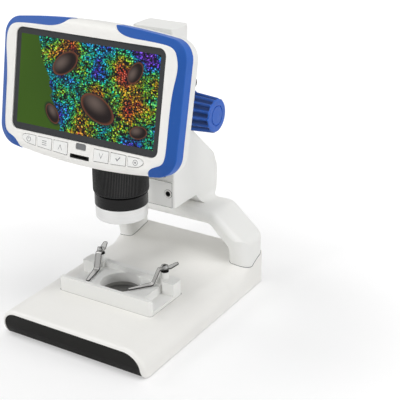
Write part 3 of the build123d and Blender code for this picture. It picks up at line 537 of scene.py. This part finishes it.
def seamed_shell(g, colour, low, high, corner):
    """White moulding with a fine shadow line where the stage plate stands on it."""
    x, y, _ = g.split(g.shifted(((low[0] + high[0]) / 2, (low[1] + high[1]) / 2, 0)))

    def beyond(distance, span):
        """How far a point lies past the start of the plate's rounded corner."""
        return (abs(distance) - (span / 2 - corner)).at_least(0.0)

    across, back = beyond(x, high[0] - low[0]), beyond(y, high[1] - low[1])
    seam = 1 - length(across, back).ramp(corner + 0.10 * MM, corner + 0.75 * MM)
    rubbed_and_sheen = g.noise(75.0, 4.0).ramp(0.46, 0.72)
    drift, hair, tone, bump = white_grain(g, colour)
    return {
        "Base Color": g.mix(seam * 0.55, tone, (0.10, 0.10, 0.095)),
        "Roughness": 0.42 + 0.09 * (drift - 0.5) + 0.05 * hair - 0.035 * rubbed_and_sheen,
        "Normal": bump}


def fluted_blue(g, colour, start, rise, depth, reach):
    """Glossy blue of a knob, with painted shade down in its flutes and painted light on its end face; the
    ridges' radius is start + rise * |x|.
    """
    x, y, z = g.split(g.shifted(SHAFT))
    sunk = start + rise * abs(x) - length(y, z)
    # painted shade down in the flutes
    shade = sunk.ramp(0.15 * depth, depth) * (sunk < 1.6 * depth) * (abs(x) < reach)
    drift, hair = g.noise(20.0, 3.0), g.scratches(180.0, 0.003)
    tone = g.tinted(drift, colour, 0.92, 1.06)
    tone = g.mix(shade * 0.85, tone, scaled(colour, 0.22))
    # painted light on the end face, past the flutes' reach
    tone = g.mix(abs(x).ramp(reach, reach + 1.2 * MM), tone, scaled(colour, 1.35))
    return {
        "Base Color": g.mix(hair * 0.10, tone, scaled(colour, 1.6)),
        "Roughness": 0.27 + 0.08 * (drift - 0.5) + 0.10 * hair + 0.15 * shade,
        "Normal": g.bump(g.noise(1500.0, 2.0), 0.02, GRAIN),
        "Specular IOR Level": 0.32}


def reeded_black(g, core, top):
    """Black grip, worn smoother along the tops of its reeds, with a painted highlight there."""
    x, y, _ = g.split(g.shifted(BARREL))
    height = (length(x, y) - core) / (top - core)
    # painted highlight along the reed tops, where the grip is also worn smoother
    rubbed_and_sheen = height.ramp(0.50, 0.98) * (0.75 + 0.5 * g.noise(55.0, 3.0))
    return {
        "Base Color": g.mix(rubbed_and_sheen, grey(0.003), grey(0.06)),
        "Roughness": 0.42 - 0.10 * rubbed_and_sheen + 0.08 * (g.noise(700.0) - 0.5),
        "Normal": g.bump(g.noise(2200.0, 2.0), 0.04, GRAIN),
        "Specular IOR Level": 0.24}


def socket_finish(g, dark, white, centre, mouth):
    """Black socket with a pale collar outside its mouth."""
    x, _, z = g.split(g.shifted(centre))
    collar = length(x, z).ramp(mouth, mouth + 0.08 * MM)
    tone = g.tinted(g.noise(300.0), white, 0.92, 0.98)
    return {
        "Base Color": g.mix(collar, dark, tone),
        "Roughness": 0.42 + 0.1 * (g.noise(90.0) - 0.5)}


def paint(names, material):
    """Gives CAD nodes their finish; their names stand in one string, with spaces between."""
    for piece in map(NODES.get, names.split()):
        if not piece.material_slots:
            piece.data.materials.append(material)
        for slot in piece.material_slots:
            slot.link = "OBJECT"
            slot.material = material


def finish(name, recipe, *args, **kwargs):
    """A material made once and then shared; its recipe gives what the shader's sockets take."""
    material = bpy.data.materials.get(name)
    if not material:
        material = bpy.data.materials.new(name)
        material.use_nodes = True
        graph = Graph(material.node_tree)
        graph.fill(material.node_tree.nodes["Principled BSDF"], recipe(graph, *args, **kwargs))
    return material


def white_shell():
    shell = bpy.context.scene.stand_settings.shell
    return finish("white_shell", moulded, shell, 0.42, tint=0.05, grain=2400.0, depth=0.025)


def black_moulding():
    dark = bpy.context.scene.stand_settings.dark
    return finish(
        "black_moulding", moulded, dark, 0.46, tint=0.3, grain=1900.0, depth=0.06, worn=0.8, specular=0.14)


def plated_steel():
    return finish("plated_steel", brushed, (0.72, 0.72, 0.71), 0.24, (1, 1, 0.1))


# ---------------------------------------------------------------- mesh helpers
WELD = 1e-7  # corners closer than this, in metres, are one
AXIS_GUARD = 1e-5  # the least radius that is divided by, in metres
POLE = 1e-6  # a ring with a smaller radius, in millimetres, is one corner
STEPS = 14  # corners that each flute of a knob gets round its rim


def smoothed(mesh, angle=35.0):
    """Smooth shading, broken at the edges that turn by more than the angle."""
    mesh.shade_smooth()
    mesh.set_sharp_from_angle(angle=radians(angle))


def mesh_piece(name, bm):
    """An object from a bmesh, closed and facing outwards."""
    bmesh.ops.remove_doubles(bm, verts=bm.verts, dist=WELD)
    bmesh.ops.recalc_face_normals(bm, faces=bm.faces)
    mesh = bpy.data.meshes.new(name)
    bm.to_mesh(mesh)
    bm.free()
    smoothed(mesh)
    piece = bpy.data.objects.new(name, mesh)
    bpy.context.collection.objects.link(piece)
    return piece


def arc(cx, cy, r, start, end, steps):
    """Points along a circular arc, angles in degrees."""
    turn = [radians(start + (end - start) * k / steps) for k in range(steps + 1)]
    return [(cx + r * cos(a), cy + r * sin(a)) for a in turn]


def resampled(profile, step):
    """The same polyline with no stretch longer than step."""
    points = [profile[0]]
    for (s0, r0), (s1, r1) in zip(profile, profile[1:]):
        count = max(1, int(hypot(s1 - s0, r1 - r0) / step + 0.999))
        points += [(s0 + (s1 - s0) * k / count, r0 + (r1 - r0) * k / count) for k in range(1, count + 1)]
    return points


def bridge(bm, first, second, count):
    """Faces between two closed rings, either of which may be a single pole."""
    for k in range(count):
        n = (k + 1) % count
        corners = [(first, k), (first, n), (second, n), (second, k)]
        unique = list(dict.fromkeys(ring[i % len(ring)] for ring, i in corners))
        if len(unique) > 2:
            bm.faces.new(unique)


def lathe(bm, profile, axis, centre, segments):
    """Turns a closed or pole-to-pole profile of (station, radius) in millimetres about X (0) or Z (2)."""
    rings = []
    for station, r in profile:
        count = segments if r > POLE else 1
        ring = []
        for k in range(count):
            a = 2 * pi * k / segments
            spot = (station, r * cos(a), r * sin(a)) if axis == 0 else (r * cos(a), r * sin(a), station)
            ring.append(bm.verts.new(Vector(spot) * MM + centre))
        rings.append(ring)
    for first, second in zip(rings, rings[1:]):
        bridge(bm, first, second, segments)


def outline_on_head(bm, outline, height):
    """Vertices on the head: an outline of (across, up), and a height out of the glass, in millimetres."""
    return [bm.verts.new(HEAD_MATRIX @ (Vector((a, b, height)) * MM)) for a, b in outline]


def prism_on_head(bm, outline, low, high):
    """Closed plate on the head, between two heights out of the glass."""
    rows = [outline_on_head(bm, outline, height) for height in (low, high)]
    for row in rows:
        bm.faces.new(row)
    bridge(bm, *rows, len(outline))


def band_on_head(bm, outer, inner, low, high):
    """Closed ring-shaped plate between two outlines with the same number of points."""
    lines = ((outer, low), (outer, high), (inner, high), (inner, low))
    rows = [outline_on_head(bm, line, height) for line, height in lines]
    for first, second in zip(rows, rows[1:] + rows[:1]):
        bridge(bm, first, second, len(outer))


# ---------------------------------------------------------------- geometry node trees
def open_tree(name, **inputs):
    """A geometry tree with named inputs, as its graph and the wires of its inputs."""
    tree = bpy.data.node_groups.new(name, "GeometryNodeTree")
    inputs = {"Geometry": "Geometry", **inputs}
    for label, kind in inputs.items():
        tree.interface.new_socket(label, in_out="INPUT", socket_type="NodeSocket" + kind)
    tree.interface.new_socket("Geometry", in_out="OUTPUT", socket_type="NodeSocketGeometry")
    graph = Graph(tree)
    source = graph.add("NodeGroupInput")
    return graph, {label: source.outlet(label) for label in inputs}


def close_tree(graph, geometry, material):
    """Realize Instances and Set Material, then the group's output; gives the tree."""
    real = graph.add("GeometryNodeRealizeInstances", {}, {0: geometry})
    painted = graph.add("GeometryNodeSetMaterial", {}, {0: real, "Material": material})
    graph.add("NodeGroupOutput", {}, {0: painted})
    return graph.tree


def grown(piece, tree, values, smooth_angle=35.0):
    """Runs a tree on the piece and leaves the result as its plain mesh."""
    modifier = piece.modifiers.new(tree.name, "NODES")
    modifier.node_group = tree
    for item in tree.interface.items_tree:
        if item.in_out == "INPUT" and item.name in values:
            modifier[item.identifier] = values[item.name]
    bpy.context.view_layer.update()
    evaluated = piece.evaluated_get(bpy.context.evaluated_depsgraph_get())
    mesh = bpy.data.meshes.new_from_object(evaluated)
    piece.modifiers.remove(modifier)
    piece.data = mesh
    smoothed(mesh, smooth_angle)


def flute_tree():
    """Sinks rounded flutes into a body turned about X, between two stations."""
    g, w = open_tree(
        "Flutes", Count="Int", Depth="Float", Start="Float", End="Float", Fade="Float", Centre="Vector",
        Floor="Float", Material="Material")
    x, y, z = g.split(g.offset(g.add("GeometryNodeInputPosition"), w["Centre"]))
    radius = length(y, z)
    wave = x.math("COSINE", x.math("ARCTAN2", z, y) * w["Count"])
    hollow = 1 - ((1 + wave) * 0.5) ** 1.8
    reach = abs(x)
    window = reach.ramp(w["Start"], w["Start"] + w["Fade"]) * (1 - reach.ramp(w["End"] - w["Fade"], w["End"]))
    sink = w["Depth"] * hollow * window * (radius > w["Floor"])
    push = sink / radius.at_least(AXIS_GUARD) * -1.0
    move = g.joined(0.0, y * push, z * push)
    moved = g.add("GeometryNodeSetPosition", {}, {"Geometry": w["Geometry"], "Offset": move})
    return close_tree(g, moved, w["Material"])


def around(g, w, piece):
    """Copies of a piece evenly round a centre."""
    circle = g.add("GeometryNodeMeshCircle", {}, {"Vertices": w["Count"], "Radius": w["Radius"]})
    spread = g.add("GeometryNodeInstanceOnPoints", {}, {"Points": circle, "Instance": piece})
    return g.add("GeometryNodeTransform", {}, {"Geometry": spread, "Translation": w["Centre"]})


def reed_tree():
    """Stands upright ribs round a barrel and joins them to its core."""
    g, w = open_tree(
        "Ribs", Count="Int", Radius="Float", Width="Float", Height="Float", Centre="Vector",
        Material="Material")
    rib = g.add("GeometryNodeMeshCylinder", {}, {
        "Vertices": 10, "Side Segments": 1, "Radius": w["Width"] * 0.5, "Depth": w["Height"]})
    together = g.add("GeometryNodeJoinGeometry")
    for part in (around(g, w, rib), w["Geometry"]):
        g.fill(together.socket.node, {0: part})
    return close_tree(g, together, w["Material"])


def lamp_tree():
    """Domed lamps evenly round the lens."""
    g, w = open_tree(
        "Lamps", Count="Int", Radius="Float", Size="Float", Centre="Vector", Material="Material")
    dome = g.add("GeometryNodeMeshUVSphere", {}, {"Segments": 20, "Rings": 12, "Radius": w["Size"]})
    return close_tree(g, around(g, w, dome), w["Material"])


def line_tree():
    """A round line along loose edges."""
    g, w = open_tree("Joint line", Radius="Float", Material="Material")
    curve = g.add("GeometryNodeMeshToCurve", {}, {0: w["Geometry"]})
    section = g.add("GeometryNodeCurvePrimitiveCircle", {}, {"Resolution": 8, "Radius": w["Radius"]})
    line = g.add("GeometryNodeCurveToMesh", {}, {"Curve": curve, "Profile Curve": section, "Fill Caps": True})
    return close_tree(g, line, w["Material"])


def tree_of(name, make):
    return bpy.data.node_groups.get(name) or make()


def merged(node):
    """A CAD node's mesh with its corners joined."""
    bm = bmesh.new()
    bm.from_mesh(NODES[node].data)
    bmesh.ops.remove_doubles(bm, verts=bm.verts, dist=WELD)
    bm.normal_update()
    return bm


def joint_line(name, node, inside, radius):
    """A thin dark line where a moulding meets its neighbour, round the faces that the test finds inside."""
    source, line = merged(node), bmesh.new()
    hidden = {face for face in source.faces if inside(face)}
    for edge in source.edges:
        if len(hidden.intersection(edge.link_faces)) == 1:
            line.edges.new([line.verts.new(v.co) for v in edge.verts])
    source.free()
    piece = mesh_piece(name, line)
    shadow = finish("joint_shadow", moulded, (0.05, 0.05, 0.048), 0.6)
    grown(piece, tree_of("Joint line", line_tree), {"Radius": radius, "Material": shadow})
    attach(piece, "stand")


# ---------------------------------------------------------------- operators
class MICROSCOPE_OT_base(bpy.types.Operator):
    """Finishes of the base, its end panel and its feet"""
    bl_idname = "microscope.base"
    bl_label = "Base"

    def execute(self, context):
        shell = context.scene.stand_settings.shell
        low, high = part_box("stage_plate")
        corner = 2.2 * MM
        paint("base_shell", finish("base_white", seamed_shell, scaled(shell, 1.06), low, high, corner))
        paint("base_tray", black_moulding())
        paint("rubber_feet", finish("foot_rubber", rubber, grey(0.03), 0.75))
        paint("arm_bolts", plated_steel())
        paint("stage_disc", finish("disc_grey", moulded, (0.19, 0.188, 0.18), 0.5, 0.1))
        return {"FINISHED"}


class MICROSCOPE_OT_stage(bpy.types.Operator):
    """Stage plate, its clips and their screws"""
    bl_idname = "microscope.stage"
    bl_label = "Stage"

    def execute(self, context):
        steel = context.scene.stand_settings.steel
        paint("stage_plate", white_shell())
        for side, (angle, slope) in CLIPS.items():
            pivot = middle("clip_screw_" + side)
            turn = (0, 0, radians(angle))
            # each clip's steel gets painted shade on its slope
            paint("clip_" + side, finish("clip_steel_" + side, sprung_sheet, steel, pivot, turn, slope))
            paint("clip_screw_" + side, finish("clip_screw_steel_" + side, recessed_steel, pivot, 1.25 * MM))
            paint("clip_spring_" + side, black_moulding())
        return {"FINISHED"}


class MICROSCOPE_OT_stand(bpy.types.Operator):
    """Arm, column and power socket"""
    bl_idname = "microscope.stand"
    bl_label = "Stand"

    def execute(self, context):
        paint("arm column_housing column_back_cover column_front_panel", white_shell())
        paint("guide_channel", black_moulding())

        base = merged("base_shell")
        ground = BVHTree.FromBMesh(base)
        base.free()

        def on_base(face):
            """A face of the feet that lies on the base."""
            _, normal, _, distance = ground.find_nearest(face.calc_center_median())
            return distance < 0.15 * MM and normal.dot(face.normal) < -0.9

        def off_front(face):
            """A face of the panel that doesn't look forwards."""
            return face.normal.y > -0.95

        joint_line("foot_joint", "arm", on_base, 0.24 * MM)
        joint_line("panel_joint", "column_front_panel", off_front, 0.16 * MM)
        settings = context.scene.stand_settings
        mouth = 2.1 * MM
        paint("power_jack", finish(
            "socket_two_tone", socket_finish, settings.dark, settings.shell, middle("power_jack"), mouth))
        paint("bush_left bush_right", finish("bush_plastic", moulded, (0.03, 0.03, 0.032), 0.4))
        return {"FINISHED"}


class MICROSCOPE_OT_knobs(bpy.types.Operator):
    """Fluted focus knobs and the lock screw"""
    bl_idname = "microscope.knobs"
    bl_label = "Knobs"

    def execute(self, context):
        settings = context.scene.knob_settings
        # a knob's sizes in millimetres: stations of its ends and its cone's, then radii
        low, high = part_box("knob_right")
        inner, outer = low[0] / MM, high[0] / MM
        foot, face = inner + 5.6, outer - 1.9
        flange = (high[2] - low[2]) / 2 / MM
        wide, narrow = flange - 1.4, flange - 2.9
        dish = 7.05
        slope = (narrow - wide) / (face - foot)
        start = (wide - slope * foot) * MM
        end = (outer - 1.7) * MM
        blue = finish("knob_blue", fluted_blue, settings.blue, start, slope, settings.depth, end)
        body = [(inner, 0.0), (inner, 2.1), (inner, flange - 0.7)]
        body += arc(inner + 0.7, flange - 0.7, 0.7, 180, 90, 4)
        body += arc(inner + 3.4, flange - 1.5, 1.5, 90, 0, 6)
        body += [(foot, wide), (face, narrow)]
        body += arc(face, narrow - 1.6, 1.6, 88, 10, 10)
        body += [(outer - 0.22, dish + 0.65), (outer - 0.8, dish + 0.45), (outer - 0.8, dish),
                 (outer - 0.16, dish - 0.2), (outer, 0.0)]
        tree = tree_of("Flutes", flute_tree)
        for side, sign in (("right", 1), ("left", -1)):
            bm = bmesh.new()
            profile = [(sign * s, r) for s, r in resampled(body, 0.75)]
            lathe(bm, profile, 0, SHAFT, settings.flutes * STEPS)
            knob = mesh_piece("focus_knob_" + side, bm)
            grown(knob, tree, {
                "Count": settings.flutes, "Depth": settings.depth, "Start": (inner + 5.0) * MM,
                "End": (outer - 0.3) * MM, "Fade": 2.0 * MM, "Centre": SHAFT, "Floor": 10.4 * MM,
                "Material": blue}, 40.0)
            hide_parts("knob_" + side)
            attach(knob, "focus_shaft")
        paint("pinion_shaft", plated_steel())
        paint("pinion rack", finish("pinion_brass", turned, (0.62, 0.43, 0.16), 0.32, 0, SHAFT, 2600.0))

        tip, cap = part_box("lock_screw")[0][0] / MM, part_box("lock_screw")[1][0] / MM
        notches = 12
        shank, collar, grip = 1.95, 3.0, 4.6
        collar_start, grip_start = 17.3, 19.4
        screw = [(tip, 0.0), (tip, shank), (collar_start, shank), (collar_start, collar),
                 (grip_start, collar), (grip_start, grip - 0.3)]
        screw += arc(grip_start + 0.3, grip - 0.3, 0.3, 180, 90, 3) + [(cap - 2.4, grip)]
        screw += arc(cap - 2.4, grip - 2.2, 2.2, 90, 20, 6) + [(cap, 0.0)]
        bm = bmesh.new()
        lathe(bm, resampled(screw, 0.5), 0, LOCK, notches * 12)
        lock = mesh_piece("lock_thumbscrew", bm)
        black = finish(
            "lock_black", moulded, (0.010, 0.010, 0.011), 0.6,
            tint=0.3, grain=1900.0, depth=0.04, worn=0.3, specular=0.06)
        grown(lock, tree, {
            "Count": notches, "Depth": 0.55 * MM, "Start": 19.5 * MM, "End": (cap - 0.8) * MM,
            "Fade": 0.8 * MM, "Centre": LOCK, "Floor": 3.4 * MM, "Material": black})
        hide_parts("lock_screw")
        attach(lock, "lock")
        return {"FINISHED"}


class MICROSCOPE_OT_display(bpy.types.Operator):
    """Display head: frame, bumpers, lit glass and what it holds"""
    bl_idname = "microscope.display"
    bl_label = "Display"

    def execute(self, context):
        # heights out of the glass behind which the bumpers' sides get painted light
        painted_light_band = (-3.4 * MM, -2.4 * MM)
        blue, shell = context.scene.head_settings.blue, context.scene.stand_settings.shell
        paint("bumper_left bumper_right", finish("bumper_rubber", rubber, blue, 0.42, painted_light_band))
        paint("display_back camera_pod", white_shell())
        paint("display_frame", finish("frame_white", gapped, scaled(shell, 1.08), 0.42, 0.45))
        paint("screen_glass", finish("lit_screen", lit_screen))
        paint("lcd_panel", finish("panel_back", moulded, (0.05, 0.05, 0.055), 0.3))
        paint("ir_window", finish(
            "window_grey", moulded, (0.16, 0.165, 0.17), 0.22, 0.1, 900.0, 0.01, worn=0.3, coat=0.4))
        paint("card_socket", black_moulding())
        paint("carriage", finish("milled_plate", brushed, (0.60, 0.61, 0.62), 0.34, (1, 1, 0.06)))
        board = finish("green_board", circuit, (0.012, 0.085, 0.035))
        paint("key_board main_board sensor_board light_board", board)
        paint("battery", finish("cell_foil", brushed, (0.50, 0.52, 0.54), 0.4, (1, 1, 0.2)))
        paint("display_screws", plated_steel())
        return {"FINISHED"}


class MICROSCOPE_OT_keys(bpy.types.Operator):
    """Six keys and the signs printed on them"""
    bl_idname = "microscope.keys"
    bl_label = "Keys"

    def execute(self, context):
        settings = context.scene.head_settings
        cap = finish("key_white", gapped, (0.87, 0.862, 0.835), 0.34, 0.72)
        ink = finish("sign_ink", moulded, settings.ink, 0.5, 0.25)
        half, thick = settings.sign_size / MM / 2, settings.sign_depth / MM
        for node in KEYS:
            paint(node, cap)
            centre = HEAD_MATRIX.inverted() @ middle(node) / MM

            def placed(outline):
                """A sign's outline, moved to the key."""
                return [(centre.x + half * x, centre.y + 0.5 + half * y) for x, y in outline]

            bm = bmesh.new()
            if node == "key_record":
                ring = [placed(arc(0, 0, r, 0, 352.5, 47)) for r in (1, 1 - STROKE * 0.8)]
                band_on_head(bm, *ring, SIGN_FOOT, SIGN_FOOT + thick)
            for outline in self.outlines(node):
                prism_on_head(bm, placed(outline), SIGN_FOOT, SIGN_FOOT + thick)
            sign = mesh_piece(node + "_sign", bm)
            sign.data.materials.append(ink)
            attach(sign, node + "_cap")
        return {"FINISHED"}

    @staticmethod
    def outlines(node):
        """Outlines of a key's generic sign, on a scale where half its height is 1."""
        half = STROKE / 2
        if node == "key_power":
            gapped_ring = arc(0, 0, 1, 120, 420, 26) + arc(0, 0, 1 - STROKE, 420, 120, 26)
            return [gapped_ring, [(-half, 0), (half, 0), (half, 1.15), (-half, 1.15)]]
        if node == "key_menu":
            return [[(-1, y - half), (1, y - half), (1, y + half), (-1, y + half)] for y in (-0.7, 0, 0.7)]
        if node in ("key_up", "key_down"):
            way, thick = (1 if node == "key_up" else -1), 1.6 * STROKE
            upper = [(-0.8, -0.8), (0, 1), (0.8, -0.8)]
            chevron = upper + [(x, y - thick) for x, y in reversed(upper)]
            return [[(x, way * y) for x, y in chevron]]
        if node == "key_ok":
            return [[(-1, 0.1), (-0.3, -0.75), (1.05, 0.75), (0.75, 1), (-0.3, -0.2), (-0.7, 0.4)]]
        return [arc(0, 0, 0.36, 0, 345, 23)]


class MICROSCOPE_OT_barrel(bpy.types.Operator):
    """Lens barrel: ribbed ring, sleeve, light ring, lamps and lens"""
    bl_idname = "microscope.barrel"
    bl_label = "Barrel"

    def execute(self, context):
        settings = context.scene.barrel_settings
        low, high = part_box("zoom_ring")
        reach, width = (high[0] - low[0]) / 2 / MM, settings.rib_width / MM
        z0, z1 = low[2] / MM, high[2] / MM
        bore, core = 16.06, reach - 0.5
        bead = core + 0.35
        grip = finish("grip_black", reeded_black, core * MM, reach * MM)
        profile = [(z0, bore), (z0, core - 0.5), (z0 + 0.5, bead), (z0 + 1.3, bead), (z0 + 1.5, core),
                   (z1 - 1.5, core), (z1 - 1.3, bead), (z1 - 0.5, bead), (z1, core - 0.5),
                   (z1, bore), (z0, bore)]
        bm = bmesh.new()
        lathe(bm, profile, 2, Vector((BARREL.x, BARREL.y, 0)), 128)
        ring = mesh_piece("ribbed_ring", bm)
        grown(ring, tree_of("Ribs", reed_tree), {
            "Count": settings.ribs, "Radius": (reach - width / 2) * MM, "Width": settings.rib_width,
            "Height": (z1 - z0 - 2.9) * MM, "Centre": (BARREL.x, BARREL.y, (z0 + z1) / 2 * MM),
            "Material": grip})
        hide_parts("zoom_ring")
        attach(ring, "ring")

        paint("barrel_sleeve", finish(
            "sleeve_black", turned, (0.006, 0.006, 0.0062), 0.24, 2, BARREL, 1500.0,
            metallic=0.0, specular=0.28))
        paint("light_ring", finish("brushed_silver", turned, (0.88, 0.88, 0.87), 0.38, 2, BARREL, 2600.0))
        paint("lens_tube", finish("tube_metal", turned, grey(0.12), 0.4, 2, BARREL, 1800.0))
        paint("lens_cell", black_moulding())
        glass = finish("coated_glass", clear_glass, (0.80, 0.88, 0.92), 0.04)
        paint("objective_lens light_window", glass)

        low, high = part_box("lamps")
        lamps = mesh_piece("ring_lamps", bmesh.new())
        span = (high[0] - low[0]) / 2
        grown(lamps, tree_of("Lamps", lamp_tree), {
            "Count": settings.lamps, "Radius": span - 1.5 * MM, "Size": 0.62 * MM,
            "Centre": (BARREL.x, BARREL.y, (low[2] + high[2]) / 2),
            "Material": finish("lamp_phosphor", moulded, (0.85, 0.78, 0.42), 0.3, 0.15)})
        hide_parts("lamps")
        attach(lamps, "head")
        return {"FINISHED"}


class MICROSCOPE_OT_studio(bpy.types.Operator):
    """Floor, lights and camera"""
    bl_idname = "microscope.studio"
    bl_label = "Studio"

    def execute(self, context):
        settings = context.scene.studio_settings
        scene = context.scene
        scene.view_settings.view_transform = "Standard"
        self.world(scene, settings.sky)
        self.floor()
        for name, place, size in LIGHTS:
            self.lamp(name + "_light", place, size, getattr(settings, name + "_power"))

        camera = bpy.data.objects.new("studio_camera", bpy.data.cameras.new("studio_camera"))
        context.collection.objects.link(camera)
        camera.data.lens = settings.lens
        camera.data.sensor_width = 36.0
        camera.location = settings.position
        camera.rotation_euler = (pi / 2 - settings.elevation, 0, settings.azimuth)
        scene.camera = camera
        return {"FINISHED"}

    @staticmethod
    def world(scene, strength):
        world = bpy.data.worlds.new("studio_sky")
        scene.world = world
        world.use_nodes = True
        g = Graph(world.node_tree)
        background = world.node_tree.nodes["Background"]
        camera = g.add("ShaderNodeLightPath", output="Is Camera Ray")
        seen = camera.at_least(camera.outlet("Is Transmission Ray"))
        seen = seen.at_least(camera.outlet("Is Glossy Ray") * 0.8)
        g.fill(background, {"Color": (1, 1, 1), "Strength": seen * (1 - strength) + strength})

    @staticmethod
    def floor():
        bm = bmesh.new()
        bmesh.ops.create_circle(bm, cap_ends=True, segments=96, radius=7.0)
        plane = mesh_piece("studio_floor", bm)
        material = finish("floor_white", lambda g: {
            "Base Color": g.mix(g.noise(3.0), grey(0.93), grey(0.95)), "Roughness": 0.9})
        nodes, g = material.node_tree.nodes, Graph(material.node_tree)
        glow = g.add("ShaderNodeEmission", {}, {"Color": grey(1), "Strength": 1.14})
        x, y, _ = g.split(g.place())
        away = length(x, y).ramp(0.11, 0.32)  # from the object's shadow to the white round it
        share = g.add("ShaderNodeLightPath", output="Is Camera Ray") * (0.34 + 0.66 * away)
        matt = Wire(g, nodes["Principled BSDF"].outputs[0])
        mixed = g.add("ShaderNodeMixShader", {}, {0: share, 1: matt, 2: glow})
        g.fill(nodes["Material Output"], {"Surface": mixed})
        plane.data.materials.append(material)

    @staticmethod
    def lamp(name, place, size, power):
        light = bpy.data.lights.new(name, "AREA")
        light.shape = "SQUARE"
        light.size = size
        light.energy = power
        lamp = bpy.data.objects.new(name, light)
        bpy.context.collection.objects.link(lamp)
        lamp.location = place
        lamp.rotation_euler = (AIM - Vector(place)).to_track_quat("-Z", "Y").to_euler()


class MICROSCOPE_PT_panel(bpy.types.Panel):
    """Every group's button and its settings"""
    bl_idname = "MICROSCOPE_PT_panel"
    bl_label = "Microscope"
    bl_space_type = "VIEW_3D"
    bl_region_type = "UI"
    bl_category = "Microscope"

    def draw(self, context):
        layout = self.layout
        for group in SETTINGS:
            settings = getattr(context.scene, group)
            box = layout.box()
            for prop in settings.bl_rna.properties:
                if prop.identifier not in ("rna_type", "name"):
                    box.prop(settings, prop.identifier)
        for operator in OPERATORS:
            layout.operator(operator.bl_idname)


SETTINGS = {
    "stand_settings": StandSettings, "head_settings": HeadSettings, "knob_settings": KnobSettings,
    "barrel_settings": BarrelSettings, "studio_settings": StudioSettings,
}
OPERATORS = (
    MICROSCOPE_OT_base, MICROSCOPE_OT_stage, MICROSCOPE_OT_stand, MICROSCOPE_OT_knobs, MICROSCOPE_OT_display,
    MICROSCOPE_OT_keys, MICROSCOPE_OT_barrel, MICROSCOPE_OT_studio,
)


def register():
    for cls in (*SETTINGS.values(), *OPERATORS, MICROSCOPE_PT_panel):
        bpy.utils.register_class(cls)
    for name, cls in SETTINGS.items():
        setattr(bpy.types.Scene, name, PointerProperty(type=cls))


def unregister():
    for name in SETTINGS:
        delattr(bpy.types.Scene, name)
    for cls in (MICROSCOPE_PT_panel, *reversed(OPERATORS), *reversed(list(SETTINGS.values()))):
        bpy.utils.unregister_class(cls)


def main():
    register()
    bpy.ops.microscope.base()
    bpy.ops.microscope.stage()
    bpy.ops.microscope.stand()
    bpy.ops.microscope.knobs()
    bpy.ops.microscope.display()
    bpy.ops.microscope.keys()
    bpy.ops.microscope.barrel()
    bpy.ops.microscope.studio()


if __name__ == "__main__":
    main()
